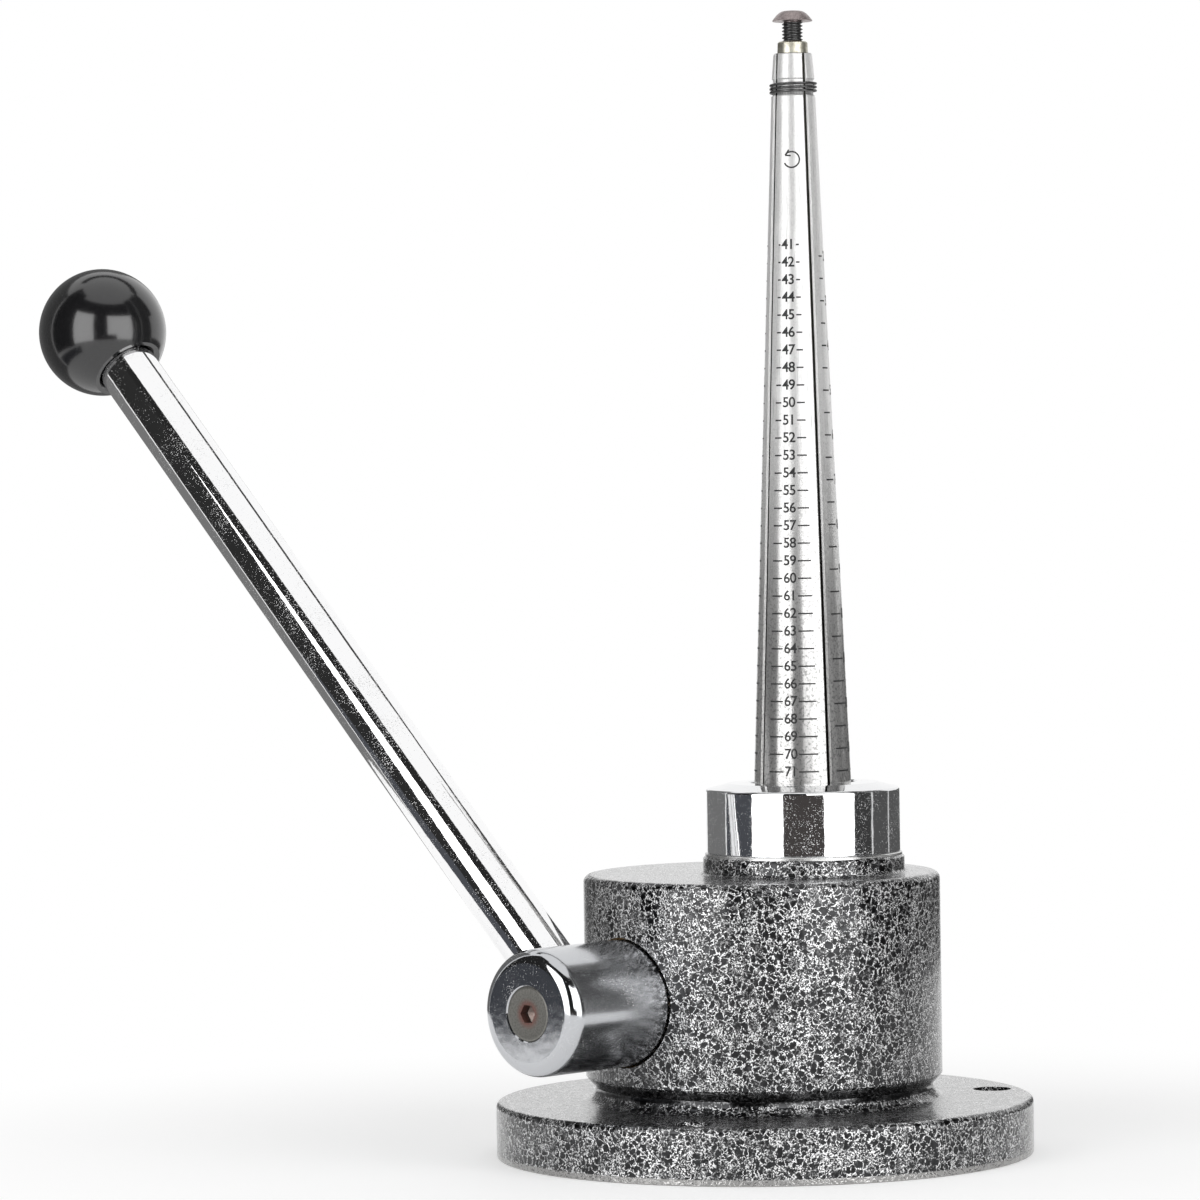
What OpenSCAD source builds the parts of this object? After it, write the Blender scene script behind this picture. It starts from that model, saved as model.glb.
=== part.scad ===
// Bench ring stretcher: a round cast base, a split tapered mandrel of four jaws, and a hand lever.
// The lever turns a cross shaft. A roller on the shaft's off-centre pin lifts a taper rod inside the
// mandrel, and the rod wedges the four jaws outwards under the ring.
//
// Millimetres. Z is up and the bench is at Z = 0. The origin is the flange's centre on the bench.
// The cross shaft lies along X, to the +Y side of the mandrel, with the lever at its -X end, and the lever
// leans towards +Y.

/* [Base casting] */
// Diameter of the flange
flange_d = 126.6; // [116:0.2:140]
// Thickness of the flange
flange_t = 13.1; // [11:0.1:16]
// Rounding of the flange's top edge
flange_round = 1.3; // [0.5:0.1:2.5]
// Diameter of the barrel body
body_d = 84; // [80:0.5:90]
// Height of the barrel body above the flange
body_h = 53.2; // [51:0.1:60]
// Rounding of the body's top edge
body_round = 1.8; // [0.5:0.1:3]
// Depth of the waist between body and flange
waist_depth = 2.3; // [1:0.1:4]
// Height of the waist, from the flange to where the body has its full diameter
waist_h = 5.9; // [4.5:0.1:8]
// Fillet at the foot of the waist
waist_fillet = 3.3; // [1:0.1:3.5]
// Diameter of the boss under the collar
boss_d = 47.4; // [46.5:0.1:50]
// Height of the boss
boss_h = 4.1; // [3:0.1:6]
// Depth of the relief in the underside
relief_h = 1.5; // [0.5:0.1:3]

/* [Bench bolts] */
// Number of bolt holes
bolt_count = 3; // [3:1:6]
// Distance from the flange's edge to the middle of a bolt hole
bolt_edge = 7.8; // [7.2:0.1:9]
// Diameter of a bolt hole
bolt_hole_d = 9; // [6:0.1:10]
// Angle of the first bolt hole from +X
bolt_angle = -36; // [-60:1:60]

/* [Cross shaft and crank] */
// Height of the shaft's axis above the bench
shaft_z = 38.2; // [37:0.1:41]
// Distance from the casting's axis across to the shaft's
shaft_y = 7.2; // [6.4:0.1:8]
// Distance from the shaft's axis to the crank pin's
crank_throw = 9; // [7.4:0.1:9.4]
// Half of the lever's sweep, from level crank pin to either end
half_sweep = 25; // [15:1:28]
// Diameter of the roller
roller_d = 9; // [8.4:0.1:10]
// Diameter of the crank pin
pin_d = 6.5; // [5:0.1:7]
// Wall of the shaft's bush
bush_wall = 1.5; // [1:0.1:2.5]
// Distance from the body's side to the bush's face
bush_inset = 8; // [7.2:0.1:9]
// Diameter of the shaft's thin end, inside the hub
stub_d = 18; // [16:0.5:20]
// Diameter of the set screw in the underside
set_screw_d = 8; // [6:0.5:10]
// Diameter of the set screw's dog point
dog_d = 5; // [4:0.1:5.5]

/* [Hub and lever] */
// Length of the hub
hub_len = 38.7; // [35:0.1:45]
// Rounding of the hub's face
hub_round = 3.5; // [1:0.1:4.5]
// Wall of the hub's end behind the head of its screw
hub_land = 0.5; // [0.3:0.1:2]
// Length of the hub's screw past the hub's end wall
hub_screw_grip = 5.5; // [4:0.1:6]
// Distance from the hub's face to the lever's axis
lever_inset = 16.5; // [15.5:0.1:20]
// Lean of the lever from upright at rest
lever_lean = 44.8; // [30:0.1:46]
// Diameter of the lever
lever_d = 14.4; // [12:0.1:16]
// Distance from the shaft's axis to the centre of the ball
lever_len = 225; // [150:0.1:230]
// Diameter of the ball
ball_d = 31.5; // [26:0.1:34]
// Diameter of the hub's countersunk screw head
hub_screw_head_d = 12.5; // [11:0.1:13]
// Diameter of the hub's screw
hub_screw_d = 6; // [5:0.1:7]

/* [Mandrel] */
// Place of the mandrel's axis along the shaft
mandrel_x = 5.5; // [3:0.1:7]
// Place of the mandrel's axis across the shaft
mandrel_y = -8.48; // [-9:0.02:-8]
// Length of the jaws above the boss
mandrel_h = 188.1; // [150:0.1:230]
// Diameter over the jaws where they leave the collar's ledge
mandrel_low_d = 23.64; // [22.8:0.02:24.6]
// Diameter over the jaws at their top, before the nose is taken down
mandrel_top_d = 9.56; // [9.2:0.02:10.5]
// Diameter of the nose at the very top
nose_d = 9.1; // [8.6:0.02:9.4]
// Width of the slit between two jaws
slit_w = 0.6; // [0.4:0.05:1]
// Width of the bevel along each edge of a slit
slit_bevel = 0.45; // [0.2:0.05:0.7]
// Direction of the first jaw from +X
jaw_angle = 29.7; // [0:0.1:90]
// Diameter of the jaws' feet
foot_d = 34; // [32:0.1:34.5]
// Height of a foot
foot_h = 4.5; // [4:0.1:6]

/* [Taper rod] */
// Diameter of the rod level with the jaws' top
rod_top_d = 7.2; // [7:0.05:7.5]
// Half angle of the rod's cone, degrees
rod_slope = 1.9; // [1.7:0.02:1.95]
// Diameter of the rod's guided foot
rod_guide_d = 19; // [18:0.1:19.6]
// Length of rod that stands out of the jaws
rod_out = 2.8; // [1:0.1:5]
// Diameter of the thrust stud under the rod
stud_d = 18; // [17:0.1:18.6]
// Wall of the rod's guide bush
guide_bush_wall = 2; // [1:0.1:2.5]
// Length of the rod's guide bush
guide_bush_len = 14.2; // [10:0.1:15]
// Diameter of the top screw
top_screw_d = 5; // [4:0.1:5.2]
// Diameter of the top screw's head
top_head_d = 9.5; // [8:0.1:11]
// Bare thread between the rod's end and the screw's head
top_screw_bare = 4.8; // [1:0.1:8]
// Length of the top screw inside the rod
top_screw_grip = 11; // [6:0.5:16]

/* [Collar] */
// Diameter of the collar
collar_d = 45.6; // [44.6:0.1:46.4]
// Height of the collar's side
collar_h = 15.2; // [12:0.1:20]
// Rise of the collar's top from its edge to the hole
collar_rise = 1.35; // [0.5:0.05:3]
// Diameter of the hole for the jaws
collar_hole_d = 25.2; // [24.9:0.1:27]
// Diameter of the casting's thread that the collar screws on
spigot_d = 41.4; // [40.6:0.1:41.8]
// Thickness of the ring under the collar
seat_ring_t = 0.7; // [0.4:0.1:2]
// Thickness of the plate under the jaws' feet
plate_t = 1.6; // [1:0.1:3]

/* [Retaining wire] */
// Diameter of the wire
wire_d = 0.6; // [0.5:0.02:0.62]
// Number of turns
wire_turns = 3; // [2:1:4]
// Rise of one turn
wire_pitch = 1.05; // [1.04:0.01:1.3]
// Distance from the jaws' top to the middle of the winding
wire_drop = 8; // [7:0.1:12]
// Depth of the groove in the jaws
wire_groove = 0.35; // [0.2:0.05:0.4]

/* [Clearances] */
// Radial clearance of a shaft that turns or slides in a bush
run_gap = 0.03; // [0.01:0.01:0.1]
// Radial clearance of a pressed or screwed piece
press_gap = 0.02; // [0.01:0.01:0.05]
// Clearance between faces that slide past each other
face_gap = 0.3; // [0.2:0.05:0.4]
// Clearance between the jaws' feet and the plate under them
foot_gap = 0.2; // [0.1:0.05:0.3]
// Clearance between the taper rod and the jaws at rest
wedge_gap = 0.15; // [0.1:0.01:0.2]
// Clearance between the hub and the casting
hub_gap = 0.5; // [0.3:0.05:1]
// Clearance between the roller and the thrust stud
roller_gap = 0.2; // [0.1:0.05:0.4]

/* [Hidden] */
$fn = 96;
eps = 0.01;                     // overlap of a cut past the face that it opens

// Heights, from the bench up
body_top_z = flange_t + body_h;
boss_top_z = body_top_z + boss_h;
collar_z = boss_top_z + seat_ring_t;
plate_top_z = boss_top_z + plate_t;
foot_z = plate_top_z + foot_gap;
foot_top_z = foot_z + foot_h;
ledge_z = foot_top_z + face_gap;
collar_top_z = collar_z + collar_h;
jaw_top_z = boss_top_z + mandrel_h;
rod_top_z = jaw_top_z + rod_out;
head_z = rod_top_z + top_screw_bare;
top_hole_depth = top_screw_grip + 2;

// Flange: the underside is hollowed up to a rim that holds the bolt holes
bolt_pcd = flange_d - 2 * bolt_edge;
rim_in_r = bolt_pcd / 2 - bolt_hole_d / 2 - 4;
spigot_top_z = ledge_z - 0.4;
edge_break = 0.3;               // bevel along a turned edge

// Cross shaft: the crank pin and its roller pass through the bush, so they lie within the shaft's circle
shaft_r = crank_throw + roller_d / 2 + 0.1;
bush_bore_r = shaft_r + run_gap;
shaft_bore_r = bush_bore_r + bush_wall;
hub_r = shaft_bore_r - hub_gap;
hub_screw_sunk = 0.2;
hub_screw_rim = 0.3;
hub_cone_h = (hub_screw_head_d - hub_screw_d) / 2;
hub_wall = hub_screw_sunk + hub_screw_rim + hub_cone_h + hub_land;
chamber_r = shaft_r + 0.4;
crank_y = shaft_y - crank_throw * cos(half_sweep);
crank_z = shaft_z - crank_throw * sin(half_sweep);
lift = 2 * crank_throw * sin(half_sweep);

// Mandrel: the roller pushes the wide stud between its middle and its edge
rod_bore_r = rod_guide_d / 2 + 0.7;
guide_bush_sink = 0.2;
guide_bush_r = rod_guide_d / 2 + run_gap + guide_bush_wall;
guide_bush_z = boss_top_z - guide_bush_sink - guide_bush_len;
rod_foot_z = shaft_z + shaft_r + 1.5;
stud_z = crank_z + roller_d / 2 + roller_gap;
stud_shank_d = 8;
cone_slope = tan(rod_slope);
cone_foot_z = jaw_top_z - (rod_guide_d - rod_top_d) / 2 / cone_slope;
jaw_spread = lift * cone_slope;
mandrel_slope = (mandrel_low_d - mandrel_top_d) / 2 / (jaw_top_z - ledge_z);

// Places along the shaft
bush_x = -body_d / 2 + bush_inset;
bush_end_x = mandrel_x - rod_bore_r - 1.3;
shaft_end_x = mandrel_x - stud_d / 2 - 0.7;
roller_len = 12;
clip_x = mandrel_x + roller_len / 2 + face_gap;
clip_t = 0.8;
pin_seat = 10;                  // length of the crank pin inside the shaft
pin_end_x = clip_x + clip_t + 0.5;
chamber_end_x = pin_end_x + 0.8;
hub_in_x = bush_x - face_gap;
hub_face_x = hub_in_x - hub_len;
stub_x = hub_face_x + hub_wall + 0.3;
lever_x = hub_face_x + lever_inset;
groove_x = (bush_x + bush_end_x) / 2;

// Lever, as distances from the shaft's axis
lever_seat = hub_r - 3;
lever_stud_d = 10;
knob_flat = lever_len - sqrt(pow(ball_d / 2, 2) - pow(lever_d / 2 + 1.75, 2));
knob_seat = knob_flat + 3;
knob_stud_d = 8;
insert_d = 12;
insert_len = 15;

// Feet of the jaws, the rubber ring round them and the keys that guide them
foot_groove_r = foot_d / 2 - 1.6;
foot_groove_h = 1.9;
ring_wire_d = 1.5;
ring_r = foot_groove_r + jaw_spread + 0.2 + ring_wire_d / 2;
recess_r = foot_d / 2 + 0.8;
key_w = 2;
key_h = 1.1;
key_in_r = mandrel_low_d / 2 + 0.2;
key_out_r = foot_d / 2 - 0.2;

// Wire: it winds clear of the jaws at full spread
wire_mid_z = jaw_top_z - wire_drop;
function mandrel_r(z) = mandrel_low_d / 2 - (z - ledge_z) * mandrel_slope;
function rod_r(z) = rod_top_d / 2 + (jaw_top_z - z) * cone_slope;
groove_r = mandrel_r(wire_mid_z) - wire_groove;
groove_half_h = (wire_turns * wire_pitch + wire_d) / 2 + 0.2;
wire_r = groove_r + jaw_spread + 0.05 + wire_d / 2;

set_screw_len = 14;
set_screw_z = shaft_z - shaft_bore_r - 0.5 - set_screw_len;
dog_top_z = shaft_z - shaft_r + 1.2;
journal_groove_r = shaft_r - 1.2 - 0.3;
journal_groove_w = dog_d + 0.4;

// A square corner at (x, z) outside its rounding of radius r; sx and sz point from the wall to the corner.
// Taken away it rounds an outer corner, and added it fillets an inner one.
module corner(x, z, r, sx, sz) {
    difference() {
        translate([sx > 0 ? x - r : x - eps, sz > 0 ? z - r : z - eps]) square(r + eps);
        translate([x - sx * r, z - sz * r]) circle(r);
    }
}

// A bevel of size b at the corner (x, z) of an outline
module bevel(x, z, b, sx, sz) {
    polygon([[x - sx * b, z + sz * eps], [x + sx * eps, z - sz * b], [x + sx * eps, z + sz * eps]]);
}

// A turned piece: its outline is radius against height
module turned() {
    rotate_extrude() children();
}

// Stands children on the mandrel's axis
module on_mandrel() {
    translate([mandrel_x, mandrel_y, 0]) children();
}

// Lays children along the cross shaft: their height becomes X
module on_shaft(x = 0) {
    translate([x, shaft_y, shaft_z]) rotate([0, 90, 0]) children();
}

// Lays children along the crank pin at rest
module on_crank(x) {
    translate([x, crank_y, crank_z]) rotate([0, 90, 0]) children();
}

// Stands children along the lever, with the shaft's axis at height 0
module on_lever() {
    translate([lever_x, shaft_y, shaft_z]) rotate([-lever_lean, 0, 0]) children();
}

// Hexagonal socket, across flats af, going down by depth from height 0
module hex_socket(af, depth) {
    translate([0, 0, -depth]) cylinder(d = af / cos(30), h = depth + eps, $fn = 6);
}

module base_outline() {
    neck_r = body_d / 2 - waist_depth;
    difference() {
        union() {
            square([flange_d / 2, flange_t]);
            translate([0, flange_t - eps]) square([neck_r, waist_h + 2 * eps]);
            translate([0, flange_t + waist_h]) square([body_d / 2, body_h - waist_h]);
            polygon([[neck_r - eps, flange_t + waist_h - waist_depth - 0.3],
                [body_d / 2, flange_t + waist_h + eps], [neck_r - eps, flange_t + waist_h + eps]]);
            corner(neck_r, flange_t, waist_fillet, -1, -1);
        }
        corner(flange_d / 2, flange_t, flange_round, 1, 1);
        bevel(flange_d / 2, 0, edge_break, 1, -1);
        corner(body_d / 2, body_top_z, body_round, 1, 1);
        translate([0, -eps]) square([rim_in_r, relief_h + eps]);
    }
}

module boss_outline() {
    boss_fillet = 1;
    difference() {
        union() {
            translate([0, body_top_z - 1]) square([boss_d / 2, boss_h + 1]);
            corner(boss_d / 2, body_top_z, boss_fillet, -1, -1);
            translate([0, boss_top_z - eps]) square([spigot_d / 2, spigot_top_z - boss_top_z + eps]);
        }
        bevel(boss_d / 2, boss_top_z, 0.5, 1, 1);
        bevel(spigot_d / 2, spigot_top_z, 2 * edge_break, 1, 1);
    }
}

module base_casting() {
    color("dimgray")
    difference() {
        union() {
            turned() base_outline();
            on_mandrel() turned() boss_outline();
        }
        // recess for the jaws' feet, seat of the guide bush and bore for the rod
        on_mandrel() {
            translate([0, 0, boss_top_z]) cylinder(r = recess_r, h = ledge_z - boss_top_z);
            translate([0, 0, guide_bush_z]) cylinder(r = guide_bush_r, h = boss_top_z - guide_bush_z + eps);
            translate([0, 0, crank_z - 1]) cylinder(r = rod_bore_r, h = guide_bush_z - crank_z + 1 + eps);
        }
        // bore for the hub and the shaft's bush, and the crank's chamber behind it
        on_shaft(-body_d) cylinder(r = shaft_bore_r, h = body_d + bush_end_x);
        on_shaft(bush_end_x - eps) cylinder(r = chamber_r, h = chamber_end_x - bush_end_x + eps);
        // hole for the set screw
        translate([groove_x, shaft_y, -eps])
            cylinder(d = set_screw_d + 2 * press_gap, h = shaft_z - shaft_r);
        for (i = [0 : bolt_count - 1])
            rotate(bolt_angle + i * 360 / bolt_count)
                translate([bolt_pcd / 2, 0, -eps]) cylinder(d = bolt_hole_d, h = flange_t + 2 * eps);
    }
}

module shaft_bush() {
    color("peru")
    difference() {
        on_shaft(bush_x) cylinder(r = shaft_bore_r - press_gap, h = bush_end_x - bush_x);
        on_shaft(bush_x - eps) cylinder(r = bush_bore_r, h = bush_end_x - bush_x + 2 * eps);
        translate([groove_x, shaft_y, 0]) cylinder(d = dog_d + 0.4, h = shaft_z);
    }
}

module rod_guide_bush() {
    color("peru")
    on_mandrel() turned() difference() {
        translate([rod_guide_d / 2 + run_gap, guide_bush_z])
            square([guide_bush_wall - press_gap, guide_bush_len]);
        bevel(guide_bush_r - press_gap, guide_bush_z + guide_bush_len, 0.5, 1, 1);
        bevel(guide_bush_r - press_gap, guide_bush_z, 0.5, 1, -1);
    }
}

module seat_ring() {
    color("lightgray")
    on_mandrel() turned() difference() {
        translate([spigot_d / 2 + 0.1, boss_top_z]) square([collar_d / 2 + 0.4 - spigot_d / 2 - 0.1, seat_ring_t]);
        bevel(collar_d / 2 + 0.4, collar_z, 0.2, 1, 1);
    }
}

module collar_outline() {
    rim_round = 0.7;
    difference() {
        union() {
            translate([0, collar_z]) square([collar_d / 2, collar_h]);
            polygon([[0, collar_top_z - eps], [collar_d / 2 - rim_round, collar_top_z - eps],
                [collar_hole_d / 2 + 5, collar_top_z + collar_rise * 0.85],
                [collar_hole_d / 2, collar_top_z + collar_rise], [0, collar_top_z + collar_rise]]);
        }
        corner(collar_d / 2, collar_top_z, rim_round, 1, 1);
        bevel(collar_d / 2, collar_z, 0.3, 1, -1);
        // thread on the spigot, room for the feet, and the hole for the jaws
        translate([0, collar_z - eps]) square([spigot_d / 2 + press_gap, ledge_z - collar_z + eps]);
        square([collar_hole_d / 2, collar_top_z + collar_rise + eps]);
        bevel(collar_hole_d / 2, collar_top_z + collar_rise, 0.4, -1, 1);
    }
}

module collar() {
    color("gainsboro") on_mandrel() turned() collar_outline();
}

module guide_plate() {
    color("slategray")
    on_mandrel() {
        difference() {
            translate([0, 0, boss_top_z]) cylinder(r = recess_r - 0.1, h = plate_t);
            translate([0, 0, boss_top_z - eps]) cylinder(r = rod_guide_d / 2 + 0.5, h = plate_t + 2 * eps);
        }
        for (i = [0 : 3])
            rotate(jaw_angle + i * 90)
                translate([key_in_r, -key_w / 2, plate_top_z - eps])
                    cube([key_out_r - key_in_r, key_w, key_h + eps]);
    }
}

module foot_ring() {
    color("black")
    on_mandrel() turned()
        translate([ring_r, foot_z + foot_h / 2]) circle(d = ring_wire_d, $fn = 32);
}

// Outline of the closed mandrel: the feet, the taper, the wire's groove and the nose
module jaw_outline() {
    groove_z = foot_z + (foot_h - foot_groove_h) / 2;
    difference() {
        polygon([
            [rod_r(foot_z) + wedge_gap, foot_z], [foot_d / 2, foot_z], [foot_d / 2, foot_top_z],
            [mandrel_r(foot_top_z), foot_top_z],
            [mandrel_r(wire_mid_z - groove_half_h), wire_mid_z - groove_half_h],
            [groove_r, wire_mid_z - groove_half_h + wire_groove],
            [groove_r, wire_mid_z + groove_half_h - wire_groove],
            [mandrel_r(wire_mid_z + groove_half_h), wire_mid_z + groove_half_h],
            [nose_d / 2, jaw_top_z - 0.3], [nose_d / 2 - 0.25, jaw_top_z],
            [rod_r(jaw_top_z) + wedge_gap, jaw_top_z]]);
        translate([foot_groove_r, groove_z]) square([foot_d / 2, foot_groove_h]);
        bevel(foot_d / 2, foot_z, 0.3, 1, -1);
        bevel(foot_d / 2, foot_top_z, 0.3, 1, 1);
    }
}

// V-shaped bevel along the slit at angle 0, following the taper from foot to tip
module slit_bevels() {
    bevel_side = (slit_w / 2 + slit_bevel) * sqrt(2);
    translate([mandrel_low_d / 2, 0, ledge_z]) rotate([0, -atan(mandrel_slope), 0]) rotate(45)
        translate([-bevel_side / 2, -bevel_side / 2, face_gap - foot_h])
            cube([bevel_side, bevel_side, jaw_top_z - ledge_z + 2 * foot_h]);
}

module jaw(i) {
    direction = jaw_angle + (i - 1) * 90;
    color("silver")
    on_mandrel()
    difference() {
        intersection() {
            turned() jaw_outline();
            rotate(direction - 45) translate([slit_w / 2, slit_w / 2, foot_z - 1])
                cube([foot_d, foot_d, jaw_top_z - foot_z + 2]);
        }
        rotate(direction - 45) slit_bevels();
        rotate(direction + 45) slit_bevels();
        rotate(direction) translate([key_in_r - 1, -key_w / 2 - 0.1, foot_z - 1])
            cube([foot_d, key_w + 0.2, key_h + 1]);
    }
}

// Point of the wire's centre line at turn t; it runs straight for one diameter past each end
function on_wire(t) =
    let (inside = max(0, min(wire_turns, t)), a = 360 * inside, past = t - inside)
    [wire_r * cos(a) - past * wire_end * sin(a), wire_r * sin(a) + past * wire_end * cos(a),
        wire_mid_z + (inside - wire_turns / 2) * wire_pitch];
wire_end = wire_d;
wire_rings = 24;
wire_sides = 6;
wire_t = concat([-1], [for (k = [0 : wire_turns * wire_rings]) k / wire_rings], [wire_turns + 1]);
wire_pts = [for (t = wire_t) on_wire(t)];
wire_gap = min([for (p = [0 : len(wire_t) - 1], q = [p : len(wire_t) - 1])
    if (wire_t[q] - wire_t[p] > 0.5) norm(wire_pts[q] - wire_pts[p]) - wire_d]);
echo(str("least gap of the retaining wire to itself: ", wire_gap, " mm"));

module retaining_wire() {
    n = len(wire_pts);
    rings = [for (k = [0 : n - 1])
        let (a = 360 * max(0, min(wire_turns, wire_t[k])), out = [cos(a), sin(a), 0])
        for (s = [0 : wire_sides - 1])
            wire_pts[k] + wire_d / 2 * (cos(s * 360 / wire_sides) * out
                + [0, 0, sin(s * 360 / wire_sides)])];
    sides = [for (k = [0 : n - 2], s = [0 : wire_sides - 1])
        let (a = k * wire_sides + s, b = k * wire_sides + (s + 1) % wire_sides)
        each [[a, b, b + wire_sides], [a, b + wire_sides, a + wire_sides]]];
    first_cap = [for (s = [1 : wire_sides - 2]) [0, s + 1, s]];
    last = (n - 1) * wire_sides;
    last_cap = [for (s = [1 : wire_sides - 2]) [last, last + s, last + s + 1]];
    color("darkslategray")
    on_mandrel() rotate(jaw_angle + 100)
        polyhedron(points = rings, faces = concat(sides, first_cap, last_cap));
}

module shaft_set_screw() {
    color("darkslategray")
    translate([groove_x, shaft_y, 0]) difference() {
        union() {
            translate([0, 0, set_screw_z]) cylinder(d = set_screw_d, h = set_screw_len);
            translate([0, 0, set_screw_z + set_screw_len - eps])
                cylinder(d = dog_d, h = dog_top_z - set_screw_z - set_screw_len + eps);
        }
        translate([0, 0, set_screw_z]) mirror([0, 0, 1]) hex_socket(4, 4);
    }
}

module taper_rod() {
    color("lightgray")
    on_mandrel()
    difference() {
        turned() polygon([[0, rod_foot_z], [rod_guide_d / 2 - 0.5, rod_foot_z],
            [rod_guide_d / 2, rod_foot_z + 0.5], [rod_guide_d / 2, cone_foot_z],
            [rod_r(rod_top_z - 0.3), rod_top_z - 0.3], [rod_r(rod_top_z) - 0.3, rod_top_z],
            [0, rod_top_z]]);
        translate([0, 0, rod_foot_z - eps]) cylinder(d = stud_shank_d + 2 * press_gap, h = 10);
        translate([0, 0, rod_top_z - top_hole_depth])
            cylinder(d = top_screw_d + 2 * press_gap, h = top_hole_depth + eps);
    }
}

module thrust_stud() {
    color("gray")
    on_mandrel() turned() union() {
        difference() {
            translate([0, stud_z]) square([stud_d / 2, rod_foot_z - stud_z]);
            bevel(stud_d / 2, stud_z, 0.5, 1, -1);
        }
        translate([0, rod_foot_z - eps]) square([stud_shank_d / 2, 9]);
    }
}

module top_screw() {
    head_h = 2.6;
    crown_r = 7;
    color("darkslategray")
    on_mandrel()
    difference() {
        union() {
            turned() intersection() {
                translate([0, head_z]) square([top_head_d / 2, head_h]);
                translate([0, head_z + head_h - crown_r]) circle(crown_r);
            }
            translate([0, 0, rod_top_z - top_screw_grip])
                cylinder(d = top_screw_d, h = top_screw_bare + top_screw_grip + eps);
        }
        translate([0, 0, head_z + head_h]) hex_socket(3, 1.6);
    }
}

module crank_shaft() {
    color("gray")
    difference() {
        union() {
            on_shaft(hub_in_x) turned() difference() {
                square([shaft_r, shaft_end_x - hub_in_x]);
                bevel(shaft_r, shaft_end_x - hub_in_x, 0.4, 1, 1);
                translate([journal_groove_r, groove_x - hub_in_x - journal_groove_w / 2])
                    square([shaft_r, journal_groove_w]);
            }
            on_shaft(stub_x) cylinder(d = stub_d, h = hub_in_x - stub_x + eps);
        }
        on_crank(shaft_end_x - pin_seat) cylinder(d = pin_d + 2 * press_gap, h = pin_seat + eps);
        on_shaft(stub_x - eps) cylinder(d = hub_screw_d + 2 * press_gap, h = hub_screw_grip + 1);
        on_lever() cylinder(d = lever_stud_d + 2 * press_gap, h = stub_d, center = true);
    }
}

module crank_pin() {
    shoulder_len = mandrel_x - roller_len / 2 - face_gap - shaft_end_x;
    color("silver")
    on_crank(shaft_end_x) turned() difference() {
        union() {
            translate([0, -pin_seat]) square([pin_d / 2, pin_seat + pin_end_x - shaft_end_x]);
            square([roller_d / 2 - 0.5, shoulder_len]);
        }
        bevel(pin_d / 2, pin_end_x - shaft_end_x, 0.3, 1, 1);
        translate([pin_d / 2 - 0.6, clip_x - shaft_end_x]) square([1, clip_t]);
    }
}

module crank_roller() {
    color("lightsteelblue")
    on_crank(mandrel_x - roller_len / 2) turned() difference() {
        translate([pin_d / 2 + run_gap, 0]) square([(roller_d - pin_d) / 2 - run_gap, roller_len]);
        bevel(roller_d / 2, 0, 0.3, 1, -1);
        bevel(roller_d / 2, roller_len, 0.3, 1, 1);
    }
}

module roller_clip() {
    color("black")
    on_crank(clip_x + 0.05) difference() {
        cylinder(d = roller_d - 0.3, h = clip_t - 0.1);
        translate([0, 0, -eps]) cylinder(r = pin_d / 2 - 0.5, h = clip_t);
        translate([0, -pin_d / 2 + 0.6, -eps]) cube([roller_d, pin_d - 1.2, clip_t]);
    }
}

module hub() {
    rod_hole_r = lever_d / 2 + 0.05;
    hole_r = hub_screw_d / 2 + 0.2;
    sink_r = hub_screw_head_d / 2 + press_gap;
    sink_edge = 0.3;
    sink_z = hub_screw_sunk + hub_screw_rim;
    color("gainsboro")
    difference() {
        on_shaft(hub_face_x) turned() difference() {
            square([hub_r, hub_len]);
            corner(hub_r, 0, hub_round, 1, -1);
            bevel(hub_r, hub_len, 0.4, 1, 1);
            // bore for the shaft's thin end, and the countersunk hole in the end wall
            translate([0, hub_wall]) square([stub_d / 2 + press_gap, hub_len]);
            translate([0, -eps]) square([hole_r, hub_wall + 2 * eps]);
            polygon([[0, -eps], [sink_r + sink_edge, -eps], [sink_r, sink_edge], [sink_r, sink_z],
                [hole_r, sink_z + sink_r - hole_r], [0, sink_z + sink_r - hole_r]]);
        }
        on_lever() {
            translate([0, 0, lever_seat]) cylinder(r = rod_hole_r, h = hub_r);
            cylinder(d = lever_stud_d + 2 * press_gap, h = hub_r);
        }
    }
}

module hub_screw() {
    color("rosybrown")
    on_shaft(hub_face_x + hub_screw_sunk) difference() {
        turned() polygon([[0, 0], [hub_screw_head_d / 2, 0], [hub_screw_head_d / 2, hub_screw_rim],
            [hub_screw_d / 2, hub_screw_rim + hub_cone_h], [hub_screw_d / 2, hub_wall + hub_screw_grip],
            [0, hub_wall + hub_screw_grip]]);
        mirror([0, 0, 1]) hex_socket(4, 2.3);
    }
}

module lever_rod() {
    color("gainsboro")
    on_lever() turned() union() {
        translate([0, 3]) square([lever_stud_d / 2, lever_seat - 3 + eps]);
        difference() {
            translate([0, lever_seat]) square([lever_d / 2, knob_seat - lever_seat]);
            bevel(lever_d / 2, knob_seat, 0.6, 1, 1);
            bevel(lever_d / 2, lever_seat, 0.4, 1, -1);
        }
        translate([0, knob_seat - eps]) square([knob_stud_d / 2, insert_len - 3]);
    }
}

module ball_knob() {
    color("black")
    on_lever() turned() difference() {
        intersection() {
            translate([0, lever_len]) circle(d = ball_d);
            translate([0, knob_flat]) square([ball_d, ball_d]);
        }
        translate([0, knob_flat - eps]) square([lever_d / 2 + 0.35, knob_seat - knob_flat + eps]);
        translate([0, knob_seat - eps]) square([insert_d / 2 + press_gap, insert_len + 0.5]);
        bevel(lever_d / 2 + 0.35, knob_flat, 0.4, -1, -1);
    }
}

module knob_insert() {
    color("goldenrod")
    on_lever() turned() difference() {
        translate([0, knob_seat]) square([insert_d / 2, insert_len]);
        translate([0, knob_seat - eps]) square([knob_stud_d / 2 + press_gap, insert_len - 2]);
    }
}

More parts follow.
